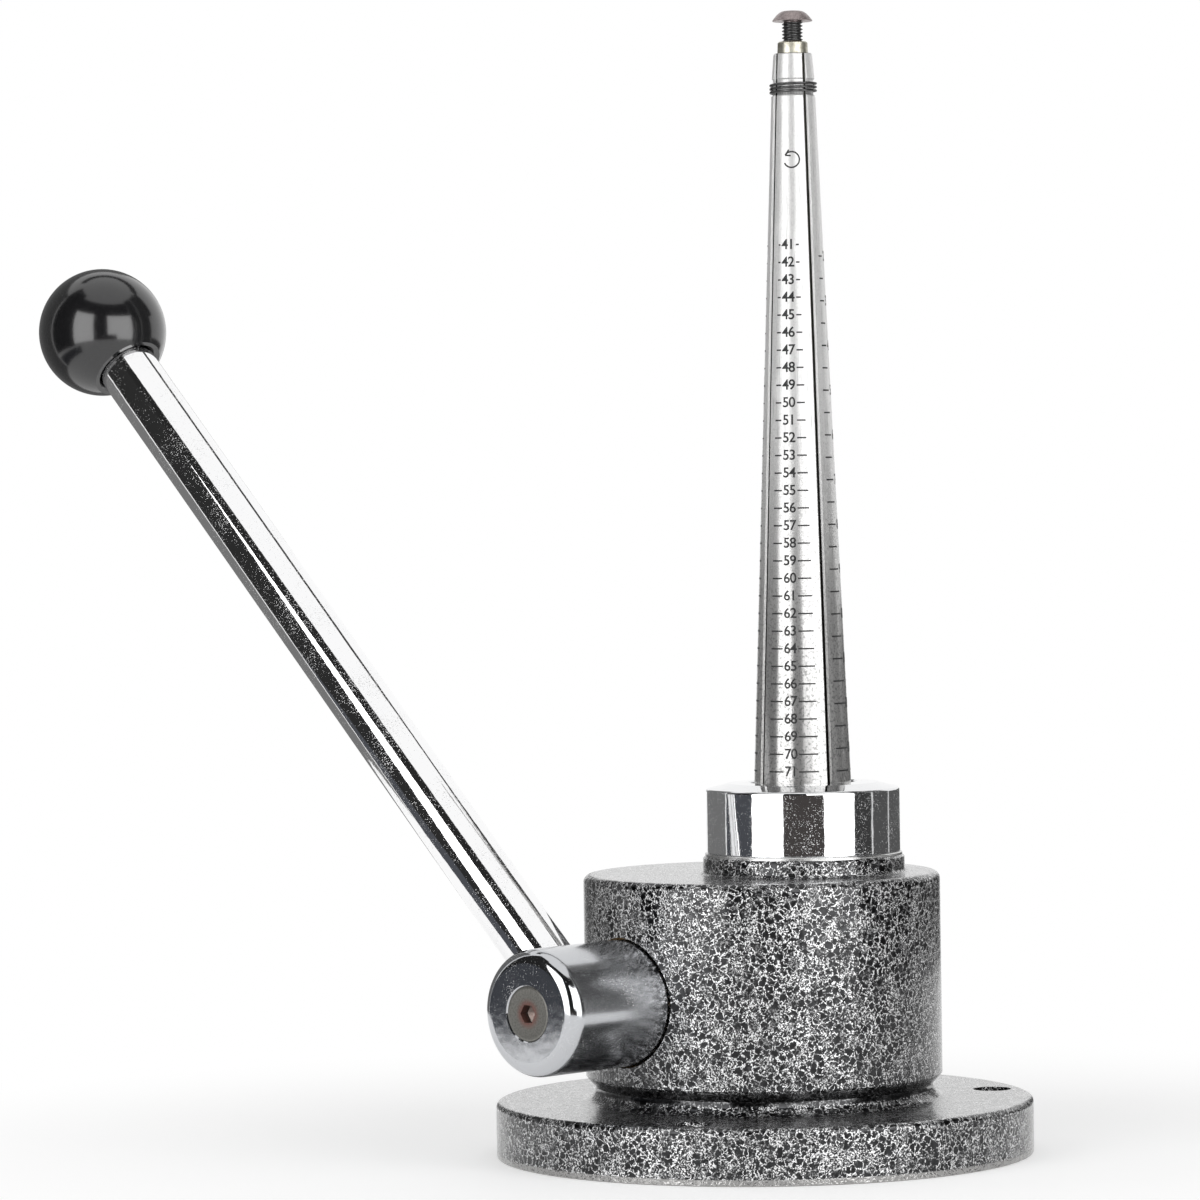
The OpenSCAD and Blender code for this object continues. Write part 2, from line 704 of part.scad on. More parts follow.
base_casting();
shaft_bush();
rod_guide_bush();
seat_ring();
collar();
guide_plate();
foot_ring();
retaining_wire();
shaft_set_screw();
jaw(1);  // jaw_1
jaw(2);  // jaw_2
jaw(3);  // jaw_3
jaw(4);  // jaw_4
taper_rod();
thrust_stud();
top_screw();
crank_shaft();
crank_pin();
crank_roller();
roller_clip();
hub();
hub_screw();
lever_rod();
ball_knob();
knob_insert();
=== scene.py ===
"""Looks of the bench ring stretcher: cast base, split mandrel, chromed lever and black ball.

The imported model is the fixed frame. The classes below dress its nodes, add what the solids leave out
(scales, threads, the fine spring wire) and set up a plain studio with a camera at the photograph's angle.
Lengths are in millimetres in the dataclasses and are turned into metres where a mesh is made.
"""

from __future__ import annotations

import logging
import math
from dataclasses import dataclass, field
from enum import Enum
from typing import Sequence

import bpy
from mathutils import Matrix, Vector

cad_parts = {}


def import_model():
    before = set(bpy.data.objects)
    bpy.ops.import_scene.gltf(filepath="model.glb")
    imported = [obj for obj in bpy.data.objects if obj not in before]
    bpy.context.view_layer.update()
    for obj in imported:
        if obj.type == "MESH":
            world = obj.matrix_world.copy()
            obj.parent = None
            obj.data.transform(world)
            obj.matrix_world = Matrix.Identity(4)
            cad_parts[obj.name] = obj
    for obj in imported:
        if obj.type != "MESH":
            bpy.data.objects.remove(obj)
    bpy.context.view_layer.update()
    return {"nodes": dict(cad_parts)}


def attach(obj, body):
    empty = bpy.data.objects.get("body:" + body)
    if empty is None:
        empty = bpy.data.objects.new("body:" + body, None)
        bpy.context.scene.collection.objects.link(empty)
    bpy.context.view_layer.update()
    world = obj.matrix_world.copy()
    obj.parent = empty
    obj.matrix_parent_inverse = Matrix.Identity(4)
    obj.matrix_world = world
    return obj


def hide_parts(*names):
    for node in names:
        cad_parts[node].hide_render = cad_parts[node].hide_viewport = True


MM = 0.001
SHARP = 0.0005  # millimetres within which a cut or a letter's points count as one
SEAM = 0.001  # millimetres within which the ends of a full turn are joined
SCREW_SIDES = 72
FIRST_MARK, LAST_MARK = 41, 71  # the circumferences on the front jaw, in millimetres
SIZE_0_DIAMETER, DIAMETER_PER_SIZE = 11.63, 0.8128  # ring sizes of the right jaw, in millimetres
LOG = logging.getLogger("ring_stretcher")

Colour = tuple[float, float, float]
Socket = bpy.types.NodeSocket


def hex_corner(across_flats: float) -> float:
    """Distance from the middle of a hexagon to its corner."""
    return across_flats / 2 / math.cos(math.radians(30))


def whole(value: float) -> str:
    """The number of a whole value, and nothing for a half."""
    return str(round(value)) if value == round(value) else ""


# ---------------------------------------------------------------------------------------------------
# Node trees
# ---------------------------------------------------------------------------------------------------


class Tree:
    """A node tree, written as a chain of small steps."""

    def __init__(self, tree: bpy.types.NodeTree) -> None:
        """Keeps the tree."""
        self.tree = tree

    def clear(self) -> None:
        """Empties the tree."""
        self.tree.nodes.clear()

    def add(self, kind: str, inputs: dict | None = None, **settings: object) -> bpy.types.Node:
        """Adds a node.

        Args:
            kind: the node's type name.
            inputs: a value or a socket for each named or numbered input.
            **settings: attributes of the node itself.

        Returns:
            The new node.
        """
        node = self.tree.nodes.new(kind)
        for key, value in settings.items():
            setattr(node, key, value)
        for key, value in (inputs or {}).items():
            self.feed(node.inputs[key], value)
        return node

    def feed(self, socket: Socket, value: object) -> None:
        """Links value to socket if it is a socket, and sets it as the default otherwise.

        Args:
            socket: the input to feed.
            value: a socket or a plain value; a colour of three numbers gets an alpha of 1.
        """
        if isinstance(value, bpy.types.NodeSocket):
            self.tree.links.new(value, socket)
        elif isinstance(value, tuple) and len(value) == 3 and len(getattr(socket, "default_value", ())) == 4:
            socket.default_value = (*value, 1.0)
        else:
            socket.default_value = value

    def math(self, operation: str, a: object, b: object = 0.0, c: object = 0.0) -> Socket:
        """A Math node on a, b and, where the operation has three, c."""
        return self.add("ShaderNodeMath", {0: a, 1: b, 2: c}, operation=operation).outputs[0]

    def times(self, first: Socket, *others: object) -> Socket:
        """The product of a socket and other sockets or numbers.

        Args:
            first: the socket.
            *others: what it is multiplied by, one after the other.

        Returns:
            The product.
        """
        for other in others:
            first = self.math("MULTIPLY", first, other)
        return first

    def vector(self, operation: str, inputs: dict, result: str = "Vector") -> Socket:
        """One result of a Vector Math node."""
        return self.add("ShaderNodeVectorMath", inputs, operation=operation).outputs[result]

    def step(self, value: Socket, low: float, high: float, to: tuple[float, float] = (0.0, 1.0)) -> Socket:
        """A smooth ramp.

        Args:
            value: what the ramp reads.
            low: the value at its start.
            high: the value at its end.
            to: the results at its start and end.

        Returns:
            The ramp's result.
        """
        node = self.add(
            "ShaderNodeMapRange",
            {"Value": value, "From Min": low, "From Max": high, "To Min": to[0], "To Max": to[1]},
            interpolation_type="SMOOTHSTEP",
        )
        return node.outputs["Result"]

    def gloss(self) -> Socket:
        """1 on rays that left a glossy surface or passed through glass."""
        rays = self.add("ShaderNodeLightPath")
        return self.math("MAXIMUM", rays.outputs["Is Glossy Ray"], rays.outputs["Is Transmission Ray"])

    def seen(self) -> Socket:
        """1 on rays from the camera and on rays from gloss or glass."""
        return self.math("MAXIMUM", self.add("ShaderNodeLightPath").outputs["Is Camera Ray"], self.gloss())


class Recipe(Tree):
    """A material with one Principled shader, on millimetre coordinates."""

    def __init__(self, name: str) -> None:
        """Starts an empty material.

        Args:
            name: the material's name.
        """
        self.material = bpy.data.materials.new(f"{name}_finish")
        self.material.use_nodes = True
        super().__init__(self.material.node_tree)
        self.shader = self.tree.nodes["Principled BSDF"]
        place = self.add("ShaderNodeTexCoord").outputs["Object"]
        self.mm = self.add("ShaderNodeMapping", {"Vector": place, "Scale": (1 / MM,) * 3}).outputs["Vector"]

    def principled(self, **values: object) -> None:
        """Sets sockets of the Principled shader; underscores in a name stand for spaces."""
        for key, value in values.items():
            self.feed(self.shader.inputs[key.replace("_", " ")], value)

    def mix(self, factor: object, a: object, b: object) -> Socket:
        """A mix of two colours.

        Args:
            factor: 0 for a, 1 for b.
            a: the first colour.
            b: the second colour.

        Returns:
            The mixed colour.
        """
        node = self.add("ShaderNodeMix", {"Factor": factor}, data_type="RGBA")
        self.feed(node.inputs[6], a)
        self.feed(node.inputs[7], b)
        return node.outputs[2]

    def stretched(self, scale: Colour) -> Socket:
        """Millimetre coordinates scaled by scale, for a pattern that runs one way."""
        return self.add("ShaderNodeMapping", {"Vector": self.mm, "Scale": scale}).outputs["Vector"]

    def noise(
        self, per_mm: float, detail: float = 2.0, at: Socket | None = None, rough: float = 0.5
    ) -> Socket:
        """A noise of per_mm features to the millimetre."""
        inputs = {"Vector": at or self.mm, "Scale": per_mm, "Detail": detail, "Roughness": rough}
        return self.add("ShaderNodeTexNoise", inputs).outputs["Fac"]

    def warped(self, per_mm: float, amount: float) -> Socket:
        """Millimetre coordinates pushed about by a noise.

        Args:
            per_mm: features of the noise to the millimetre.
            amount: how far it pushes at most, from one side to the other, in millimetres.

        Returns:
            The pushed coordinates.
        """
        push = self.add("ShaderNodeTexNoise", {"Vector": self.mm, "Scale": per_mm, "Detail": 2.0})
        centred = self.vector("SUBTRACT", {0: push.outputs["Color"], 1: (0.5, 0.5, 0.5)})
        return self.vector("ADD", {0: self.mm, 1: self.vector("SCALE", {0: centred, "Scale": amount})})

    def to_edge(self, per_mm: float, at: Socket) -> Socket:
        """Distance to the nearest edge in a pattern of cells.

        Args:
            per_mm: cells to the millimetre.
            at: the coordinates.

        Returns:
            The distance in millimetres.
        """
        inputs = {"Vector": at, "Scale": per_mm}
        cells = self.add("ShaderNodeTexVoronoi", inputs, feature="DISTANCE_TO_EDGE")
        return self.math("DIVIDE", cells.outputs["Distance"], per_mm)

    def from_axis(self, x: float = 0.0, y: float = 0.0) -> Socket:
        """Distance from an upright axis through x, y, in millimetres."""
        flat = self.vector("MULTIPLY", {0: self.mm, 1: (1.0, 1.0, 0.0)})
        return self.vector("DISTANCE", {0: flat, 1: (x, y, 0.0)}, "Value")

    def bump(
        self, height: Socket, depth_mm: float, strength: float = 1.0, under: Socket | None = None
    ) -> Socket:
        """A bumped normal.

        Args:
            height: the relief, from 0 to 1.
            depth_mm: what a height of 1 stands for, in millimetres.
            strength: how much of the bump is used.
            under: the normal that the bump is laid on, if there is one.

        Returns:
            The normal.
        """
        inputs = {"Height": height, "Distance": depth_mm * MM, "Strength": strength}
        if under is not None:
            inputs["Normal"] = under
        return self.add("ShaderNodeBump", inputs).outputs["Normal"]

    def axis_value(self, axis: str) -> Socket:
        """One millimetre coordinate."""
        return self.add("ShaderNodeSeparateXYZ", {0: self.mm}).outputs[axis]


# ---------------------------------------------------------------------------------------------------
# Finishes
# ---------------------------------------------------------------------------------------------------


@dataclass(frozen=True)
class Taper:
    """The closed mandrel's outer cone, in millimetres."""

    x: float = 5.5
    y: float = -8.48
    low_z: float = 77.0
    low_r: float = 11.82
    top_z: float = 258.5
    top_r: float = 4.78

    @property
    def slope(self) -> float:
        """Loss of radius for each millimetre of height."""
        return (self.low_r - self.top_r) / (self.top_z - self.low_z)

    def radius(self, z: float) -> float:
        """Outer radius at a height."""
        return self.low_r - (z - self.low_z) * self.slope

    def height(self, circumference: float) -> float:
        """Height at which the mandrel measures circumference round."""
        return self.low_z + (self.low_r - circumference / math.tau) / self.slope


@dataclass(frozen=True)
class HammeredEnamel:
    """Grey hammered enamel: dark mirror-like pools between bright, broken crests."""

    pool: Colour = (0.011, 0.011, 0.012)
    pool_light: Colour = (0.035, 0.036, 0.038)
    crest: Colour = (0.99, 0.992, 1.0)
    bare_iron: Colour = (0.33, 0.325, 0.32)
    bare_iron_light: Colour = (0.42, 0.415, 0.41)
    pools_per_mm: float = 0.6
    small_pools_per_mm: float = 1.3
    speckles_per_mm: float = 2.6
    crest_half_width: float = 0.128
    broken_between: tuple[float, float] = (0.43, 0.55)
    fine_between: tuple[float, float] = (0.44, 0.56)
    patches_between: tuple[float, float] = (0.46, 0.66)
    bowl_width: float = 0.34
    small_bowl_width: float = 0.3
    small_bowl_share: float = 0.35
    smooth_ring: tuple[float, float] = (15.6, 18.4)
    smoothed: float = 0.85
    underside: tuple[float, float] = (1.4, 1.7)
    turning_marks: float = 9.0
    roughness: tuple[float, float] = (0.15, 0.3)
    coat: float = 0.4
    coat_roughness: float = 0.12
    relief: float = 0.06
    swell: float = 0.12

    def make(self) -> bpy.types.Material:
        """Builds the material.

        Returns:
            The enamel, with machined iron under the flange.
        """
        r = Recipe("hammered_enamel")
        place = r.warped(0.9, 2.0)
        near = r.warped(1.7, 0.9)
        edge = r.to_edge(self.pools_per_mm, place)
        small = r.to_edge(self.small_pools_per_mm, near)
        crests = r.step(edge, 0.5 * self.crest_half_width, 1.5 * self.crest_half_width, (1.0, 0.0))
        small_crests = r.step(small, 0.3 * self.crest_half_width, self.crest_half_width, (1.0, 0.0))
        speckle = r.noise(self.speckles_per_mm, 3.0, rough=0.6)
        broken = r.step(speckle, *self.broken_between)
        patch = r.step(r.noise(0.22, 2.0), *self.patches_between)
        fine = r.times(small_crests, patch, r.step(speckle, *self.fine_between, (0.0, 0.8)))
        thin = r.step(r.noise(0.35, 3.0), 0.34, 0.5, (0.35, 1.0))
        ring = r.math("SUBTRACT", 1.0, r.times(self.ring_mask(r), self.smoothed))
        flake = r.times(r.math("MAXIMUM", r.times(crests, broken, thin), fine), ring)
        pool = r.mix(r.times(r.step(r.noise(0.6, 3.0), 0.3, 0.7), ring), self.pool, self.pool_light)
        bare = r.step(r.axis_value("Z"), *self.underside, (1.0, 0.0))
        turned = r.math("SINE", r.times(r.from_axis(), self.turning_marks))
        iron = r.mix(r.math("MULTIPLY_ADD", turned, 0.12, 0.5), self.bare_iron, self.bare_iron_light)
        bowl = r.step(edge, 0.0, self.bowl_width, (1.0, 0.0))
        small_bowl = r.times(r.step(small, 0.0, self.small_bowl_width, (self.small_bowl_share, 0.0)), patch)
        grain = r.times(speckle, flake, 0.5)
        height = r.times(r.math("ADD", r.math("ADD", bowl, small_bowl), grain), ring)
        swell = r.bump(r.noise(0.28, 2.0), self.swell)
        r.principled(
            Base_Color=r.mix(bare, r.mix(flake, pool, self.crest), iron),
            Metallic=r.math("MAXIMUM", bare, r.math("MULTIPLY_ADD", flake, -0.22, 0.94)),
            Roughness=r.step(flake, 0.0, 1.0, self.roughness),
            Coat_Weight=self.coat,
            Coat_Roughness=self.coat_roughness,
            Normal=r.bump(height, self.relief, 1.0, swell),
        )
        return r.material

    def ring_mask(self, r: Recipe) -> Socket:
        """Marks the waist under the body, where the paint ran smooth.

        Args:
            r: the recipe.

        Returns:
            1 in the waist and 0 elsewhere.
        """
        low, high = self.smooth_ring
        z = r.axis_value("Z")
        return r.times(r.step(z, low - 0.5, low), r.step(z, high - 0.4, high + 0.3, (1.0, 0.0)))


@dataclass(frozen=True)
class ChromePlate:
    """Chrome plate with pits that catch the light, and with fine scratches round or along the piece."""

    name: str = "chrome_plate"
    colour: Colour = (0.83, 0.835, 0.845)
    roughness: float = 0.045
    pit: Colour = (0.8, 0.8, 0.81)
    pits_per_mm: float = 3.6
    pit_depth: float = 0.01
    pitted: float = 0.66
    scratch: Colour = (0.4, 0.4, 9.0)
    scratch_depth: float = 0.002
    rougher_past_x: tuple[float, float] | None = None

    def make(self) -> bpy.types.Material:
        """Builds the material.

        Returns:
            The plate.
        """
        r = Recipe(self.name)
        pits = r.noise(self.pits_per_mm, 2.0, rough=0.6)
        zone = r.noise(0.12, 3.0)
        cast = r.math("ADD", pits, r.times(r.math("SUBTRACT", zone, 0.5), 0.35))
        pitted = r.step(cast, self.pitted, self.pitted + 0.05)
        wave = r.noise(0.35, 1.0)
        scratches = r.noise(1.0, 3.0, r.stretched(self.scratch), 0.65)
        worn = r.step(scratches, 0.52, 0.75)
        normal = r.bump(scratches, self.scratch_depth, 1.0, r.bump(wave, 0.02))
        r.principled(
            Base_Color=r.mix(pitted, self.colour, self.pit),
            Metallic=r.math("MULTIPLY_ADD", pitted, -0.7, 1.0),
            Roughness=r.math("MULTIPLY_ADD", worn, 0.06, r.step(pitted, 0.0, 1.0, (self.polish(r), 0.4))),
            Normal=r.bump(pitted, -self.pit_depth, 1.0, normal),
        )
        return r.material

    def polish(self, r: Recipe) -> object:
        """The plate's roughness: even, or rougher past some place along X.

        Args:
            r: the recipe.

        Returns:
            A number or a socket.
        """
        if self.rougher_past_x is None:
            return self.roughness
        start, roughness = self.rougher_past_x
        return r.step(r.axis_value("X"), start, start + 1.0, (self.roughness, roughness))


@dataclass(frozen=True)
class GroundSteel:
    """Steel ground lengthwise: darker and speckled at the foot, paler to the tip, with painted shade in the
    slits: their walls are near black.
    """

    taper: Taper
    name: str = "ground_steel"
    colour_low: Colour = (0.54, 0.537, 0.53)
    colour_high: Colour = (0.88, 0.877, 0.87)
    dull: float = 0.5
    # painted shade: near-black colour for the walls inside the slits between the jaws, where shade falls
    slit_wall: Colour = (0.012, 0.012, 0.012)
    roughness: float = 0.17
    roughness_high: float = 0.28
    metallic_low: float = 0.62
    metallic_high: float = 0.22
    change_from_z: float = 95.0
    change_to_z: float = 190.0
    bevel_depth: float = 0.34

    def make(self) -> bpy.types.Material:
        """Builds the material.

        Returns:
            The steel, with painted shade on the slit walls: near black and not metallic.
        """
        r = Recipe(self.name)
        streak = r.noise(1.0, 4.0, r.stretched((3.5, 3.5, 0.05)), 0.6)
        line = r.noise(1.0, 2.0, r.stretched((9.0, 9.0, 0.02)), 0.5)
        mottle = r.noise(1.6, 5.0, rough=0.7)
        z = r.axis_value("Z")
        up = r.step(z, self.change_from_z, self.change_to_z)
        specks = r.times(r.step(mottle, 0.48, 0.62), r.math("MULTIPLY_ADD", up, -0.8, 1.0))
        stain = r.math("MAXIMUM", specks, r.step(streak, 0.5, 0.75, (0.0, 0.7)))
        relief = r.math("ADD", streak, r.times(line, 0.6))
        steel = r.mix(up, self.colour_low, self.colour_high)
        dull = r.mix(self.dull, steel, (0.0, 0.0, 0.0))
        # 1 on the outer cone and 0 on the slit walls, which get painted shade: near black and not metallic
        outer = r.step(self.depth(r, z), self.bevel_depth, self.bevel_depth + 0.12, (1.0, 0.0))
        grind = r.step(up, 0.0, 1.0, (self.roughness, self.roughness_high))
        r.principled(
            Base_Color=r.mix(outer, self.slit_wall, r.mix(stain, steel, dull)),
            Metallic=r.times(outer, r.step(up, 0.0, 1.0, (self.metallic_low, self.metallic_high))),
            Roughness=r.math("MULTIPLY_ADD", stain, 0.1, grind),
            Normal=r.bump(relief, 0.006, 1.0, r.bump(mottle, 0.008)),
        )
        return r.material

    def depth(self, r: Recipe, z: Socket) -> Socket:
        """How far a point lies under the mandrel's outer cone.

        Args:
            r: the recipe.
            z: the point's height.

        Returns:
            The depth in millimetres.
        """
        foot = self.taper.low_r + self.taper.low_z * self.taper.slope
        surface = r.math("MULTIPLY_ADD", z, -self.taper.slope, foot)
        return r.math("SUBTRACT", surface, r.from_axis(self.taper.x, self.taper.y))


@dataclass(frozen=True)
class TurnedMetal:
    """Metal turned on a lathe, with rings of tool marks across an axis."""

    name: str
    colour: Colour
    shade: Colour
    roughness: float = 0.3
    marks_per_mm: float = 3.0
    axis: str = "Z"
    metallic: float = 1.0

    def make(self) -> bpy.types.Material:
        """Builds the material.

        Returns:
            The metal, dulled where its dirt lies.
        """
        r = Recipe(self.name)
        along = r.axis_value(self.axis)
        marks = r.math("SINE", r.times(along, self.marks_per_mm * math.tau))
        dirt = r.noise(0.6, 4.0, rough=0.6)
        r.principled(
            Base_Color=r.mix(r.step(dirt, 0.4, 0.7), self.colour, self.shade),
            Metallic=self.metallic,
            Roughness=r.step(dirt, 0.3, 0.8, (self.roughness, self.roughness + 0.15)),
            Normal=r.bump(marks, 0.006, 0.8, r.bump(dirt, 0.01)),
        )
        return r.material


@dataclass(frozen=True)
class BlackBall:
    """Black moulded resin, handled to a soft gloss, with a faint orange peel and a few rubbed spots."""

    colour: Colour = (0.012, 0.012, 0.013)
    rubbed: Colour = (0.03, 0.03, 0.032)
    roughness: tuple[float, float] = (0.17, 0.33)
    refraction: float = 1.6
    coat: float = 0.5
    coat_roughness: float = 0.1

    def make(self) -> bpy.types.Material:
        """Builds the material.

        Returns:
            The resin.
        """
        r = Recipe("black_ball")
        peel = r.noise(0.45, 2.0)
        rub = r.step(r.noise(0.9, 5.0, rough=0.7), 0.55, 0.8)
        r.principled(
            Base_Color=r.mix(rub, self.colour, self.rubbed),
            Roughness=r.step(rub, 0.0, 1.0, self.roughness),
            IOR=self.refraction,
            Coat_Weight=self.coat,
            Coat_Roughness=self.coat_roughness,
            Normal=r.bump(peel, 0.02, 0.6),
        )
        return r.material


@dataclass(frozen=True)
class BlackRubber:
    """Dull black rubber."""

    colour: Colour = (0.02, 0.02, 0.021)
    roughness: float = 0.75

    def make(self) -> bpy.types.Material:
        """Builds the material.

        Returns:
            The rubber.
        """
        r = Recipe("black_rubber")
        grain = r.noise(3.0, 4.0)
        r.principled(Base_Color=self.colour, Roughness=self.roughness, Normal=r.bump(grain, 0.01))
        return r.material


@dataclass(frozen=True)
class EngravingBlack:
    """Black wax in engraved lines, rubbed thin in places."""

    colour: Colour = (0.012, 0.012, 0.013)
    rubbed: Colour = (0.04, 0.04, 0.04)
    roughness: float = 0.55

    def make(self) -> bpy.types.Material:
        """Builds the material.

        Returns:
            The filling.
        """
        r = Recipe("engraving_black")
        thin = r.step(r.noise(1.6, 3.0), 0.45, 0.7)
        colour = r.mix(thin, self.colour, self.rubbed)
        r.principled(Base_Color=colour, Roughness=self.roughness, Normal=r.bump(thin, 0.01))
        return r.material


@dataclass(frozen=True)
class ScrewSteel:
    """A heat-treated screw: dark thread and a browned head, darker where its dirt lies."""

    name: str
    head: Colour
    socket: Colour
    thread: Colour = (0.1, 0.1, 0.1)
    head_from_z: float = 0.0
    hole: tuple[float, float, float] | None = None
    hole_reach: float = 2.0
    dirtied: float = 0.72
    metallic: float = 0.75
    roughness: tuple[float, float] = (0.3, 0.5)

    def make(self) -> bpy.types.Material:
        """Builds the material.

        Returns:
            The screw's steel, with rust round its socket where hole is given.
        """
        r = Recipe(self.name)
        dirt = r.noise(2.2, 4.0, rough=0.65)
        dirty = tuple(self.dirtied * part for part in self.head)
        head = r.mix(r.step(dirt, 0.42, 0.62), self.head, dirty)
        if self.hole is not None:
            out = r.vector("DISTANCE", {0: r.mm, 1: self.hole}, "Value")
            rust = r.step(out, 0.9 * self.hole_reach, 1.7 * self.hole_reach, (1.0, 0.0))
            head = r.mix(r.times(rust, r.step(dirt, 0.25, 0.5, (0.3, 1.0))), head, self.socket)
        on_head = r.step(r.axis_value("Z"), self.head_from_z - 0.1, self.head_from_z + 0.1)
        r.principled(
            Base_Color=r.mix(on_head, self.thread, head),
            Metallic=self.metallic,
            Roughness=r.step(dirt, 0.3, 0.8, self.roughness),
            Normal=r.bump(dirt, 0.02),
        )
        return r.material


class Finish(Enum):
    """The finishes that the object has: a name and, but for the scales' filling, the record's slot."""

    ENAMEL = ("hammered_enamel", "hammered_paint")
    CHROME = ("chrome", "chrome_plate")
    WORN_CHROME = ("worn_chrome", "chrome_plate")
    ROD_CHROME = ("rod_chrome", "chrome_plate")
    GROUND = ("ground", "ground_steel")
    BRIGHT = ("bright", "bright_steel")
    INNER = ("inner", "inner_steel")
    ROD = ("taper_rod_steel", "rod_steel")
    WIRE = ("wire", "spring_wire")
    TOP_SCREW = ("browned_screw", "burnished_screw")
    HUB_SCREW = ("rusted_screw", "burnished_screw")
    BLACKED = ("blacked", "black_screw")
    BRONZE = ("bearing_bronze", "bronze")
    BRASS = ("insert_brass", "brass")
    RUBBER = ("rubber", "black_rubber")
    BALL = ("resin", "black_phenolic")
    ENGRAVED = ("engraving", "")

    @property
    def slot(self) -> str:
        """The record's material slot, or an empty name."""
        return self.value[1]


RECIPES = {
    Finish.ENAMEL: HammeredEnamel(),
    Finish.CHROME: ChromePlate(),
    Finish.WORN_CHROME: ChromePlate(
        "worn_chrome",
        (0.58, 0.59, 0.61),
        roughness=0.07,
        pitted=0.68,
        scratch=(0.25, 7.0, 7.0),
        scratch_depth=0.003,
        rougher_past_x=(-71.5, 0.17),
    ),
    Finish.ROD_CHROME: ChromePlate(
        "rod_chrome",
        (0.95, 0.95, 0.955),
        pit=(0.95, 0.95, 0.95),
        pits_per_mm=3.2,
        pitted=0.65,
        scratch=(0.3, 5.0, 0.3),
        scratch_depth=0.0008,
    ),
    Finish.GROUND: GroundSteel(Taper()),
    Finish.BRIGHT: TurnedMetal("bright_steel", (0.7, 0.7, 0.7), (0.6, 0.6, 0.59), 0.2),
    Finish.INNER: TurnedMetal("inner_steel", (0.5, 0.5, 0.51), (0.38, 0.37, 0.36), 0.3, 2.0, "X"),
    Finish.ROD: TurnedMetal("rod_steel", (0.66, 0.64, 0.55), (0.42, 0.4, 0.32), 0.36, 2.4),
    Finish.WIRE: TurnedMetal("wire_steel", (0.13, 0.13, 0.13), (0.06, 0.06, 0.06), 0.32, 1.0),
    Finish.TOP_SCREW: ScrewSteel("browned_screw", (0.4, 0.34, 0.335), (0.3, 0.2, 0.18), head_from_z=265.9),
    Finish.HUB_SCREW: ScrewSteel(
        "rusted_screw", (0.25, 0.245, 0.225), (0.25, 0.13, 0.11), hole=(-72.8, 7.2, 38.2), hole_reach=2.3
    ),
    Finish.BLACKED: TurnedMetal("blacked_steel", (0.07, 0.07, 0.075), (0.12, 0.11, 0.1), 0.4, 3.0),
    Finish.BRONZE: TurnedMetal("bronze", (0.62, 0.42, 0.22), (0.4, 0.27, 0.14), 0.28, 2.0, "X"),
    Finish.BRASS: TurnedMetal("brass", (0.8, 0.62, 0.3), (0.6, 0.45, 0.2), 0.24, 2.0),
    Finish.RUBBER: BlackRubber(),
    Finish.BALL: BlackBall(),
    Finish.ENGRAVED: EngravingBlack(),
}


class Workshop:
    """Makes each finish once and puts it on CAD nodes and new pieces."""

    def __init__(self, nodes: dict[str, bpy.types.Object]) -> None:
        """Keeps the frame's nodes.

        Args:
            nodes: the CAD nodes by name.
        """
        self.nodes = nodes
        self.made: dict[Finish, bpy.types.Material] = {}

    def material(self, finish: Finish) -> bpy.types.Material:
        """The material of a finish, made on its first use.

        Args:
            finish: the finish.

        Returns:
            Its material.
        """
        if finish not in self.made:
            self.made[finish] = RECIPES[finish].make()
        return self.made[finish]

    def dress(self, node: str, finish: Finish) -> None:
        """Gives a CAD node its finish.

        Args:
            node: the CAD node's name.
            finish: what it is made of.
        """
        mesh = self.nodes[node].data
        mesh.materials.clear()
        mesh.materials.append(self.material(finish))
        LOG.info("%s dressed in %s", node, finish.value[0])

    def hand_over(self, piece: bpy.types.Object, name: str, body: str, finish: Finish, *nodes: str) -> None:
        """Names, dresses and mounts a new piece.

        Args:
            piece: the piece, in place.
            name: its name.
            body: the body it moves with.
            finish: what it is made of.
            *nodes: the CAD nodes that it stands for.
        """
        piece.name = piece.data.name = name
        piece.data.materials.clear()
        piece.data.materials.append(self.material(finish))
        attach(piece, body)
        if nodes:
            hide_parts(*nodes)
        LOG.info("%s rides on %s, %d faces", name, body, len(piece.data.polygons))


# ---------------------------------------------------------------------------------------------------
# Bench: modelling with Blender's own operators
# ---------------------------------------------------------------------------------------------------


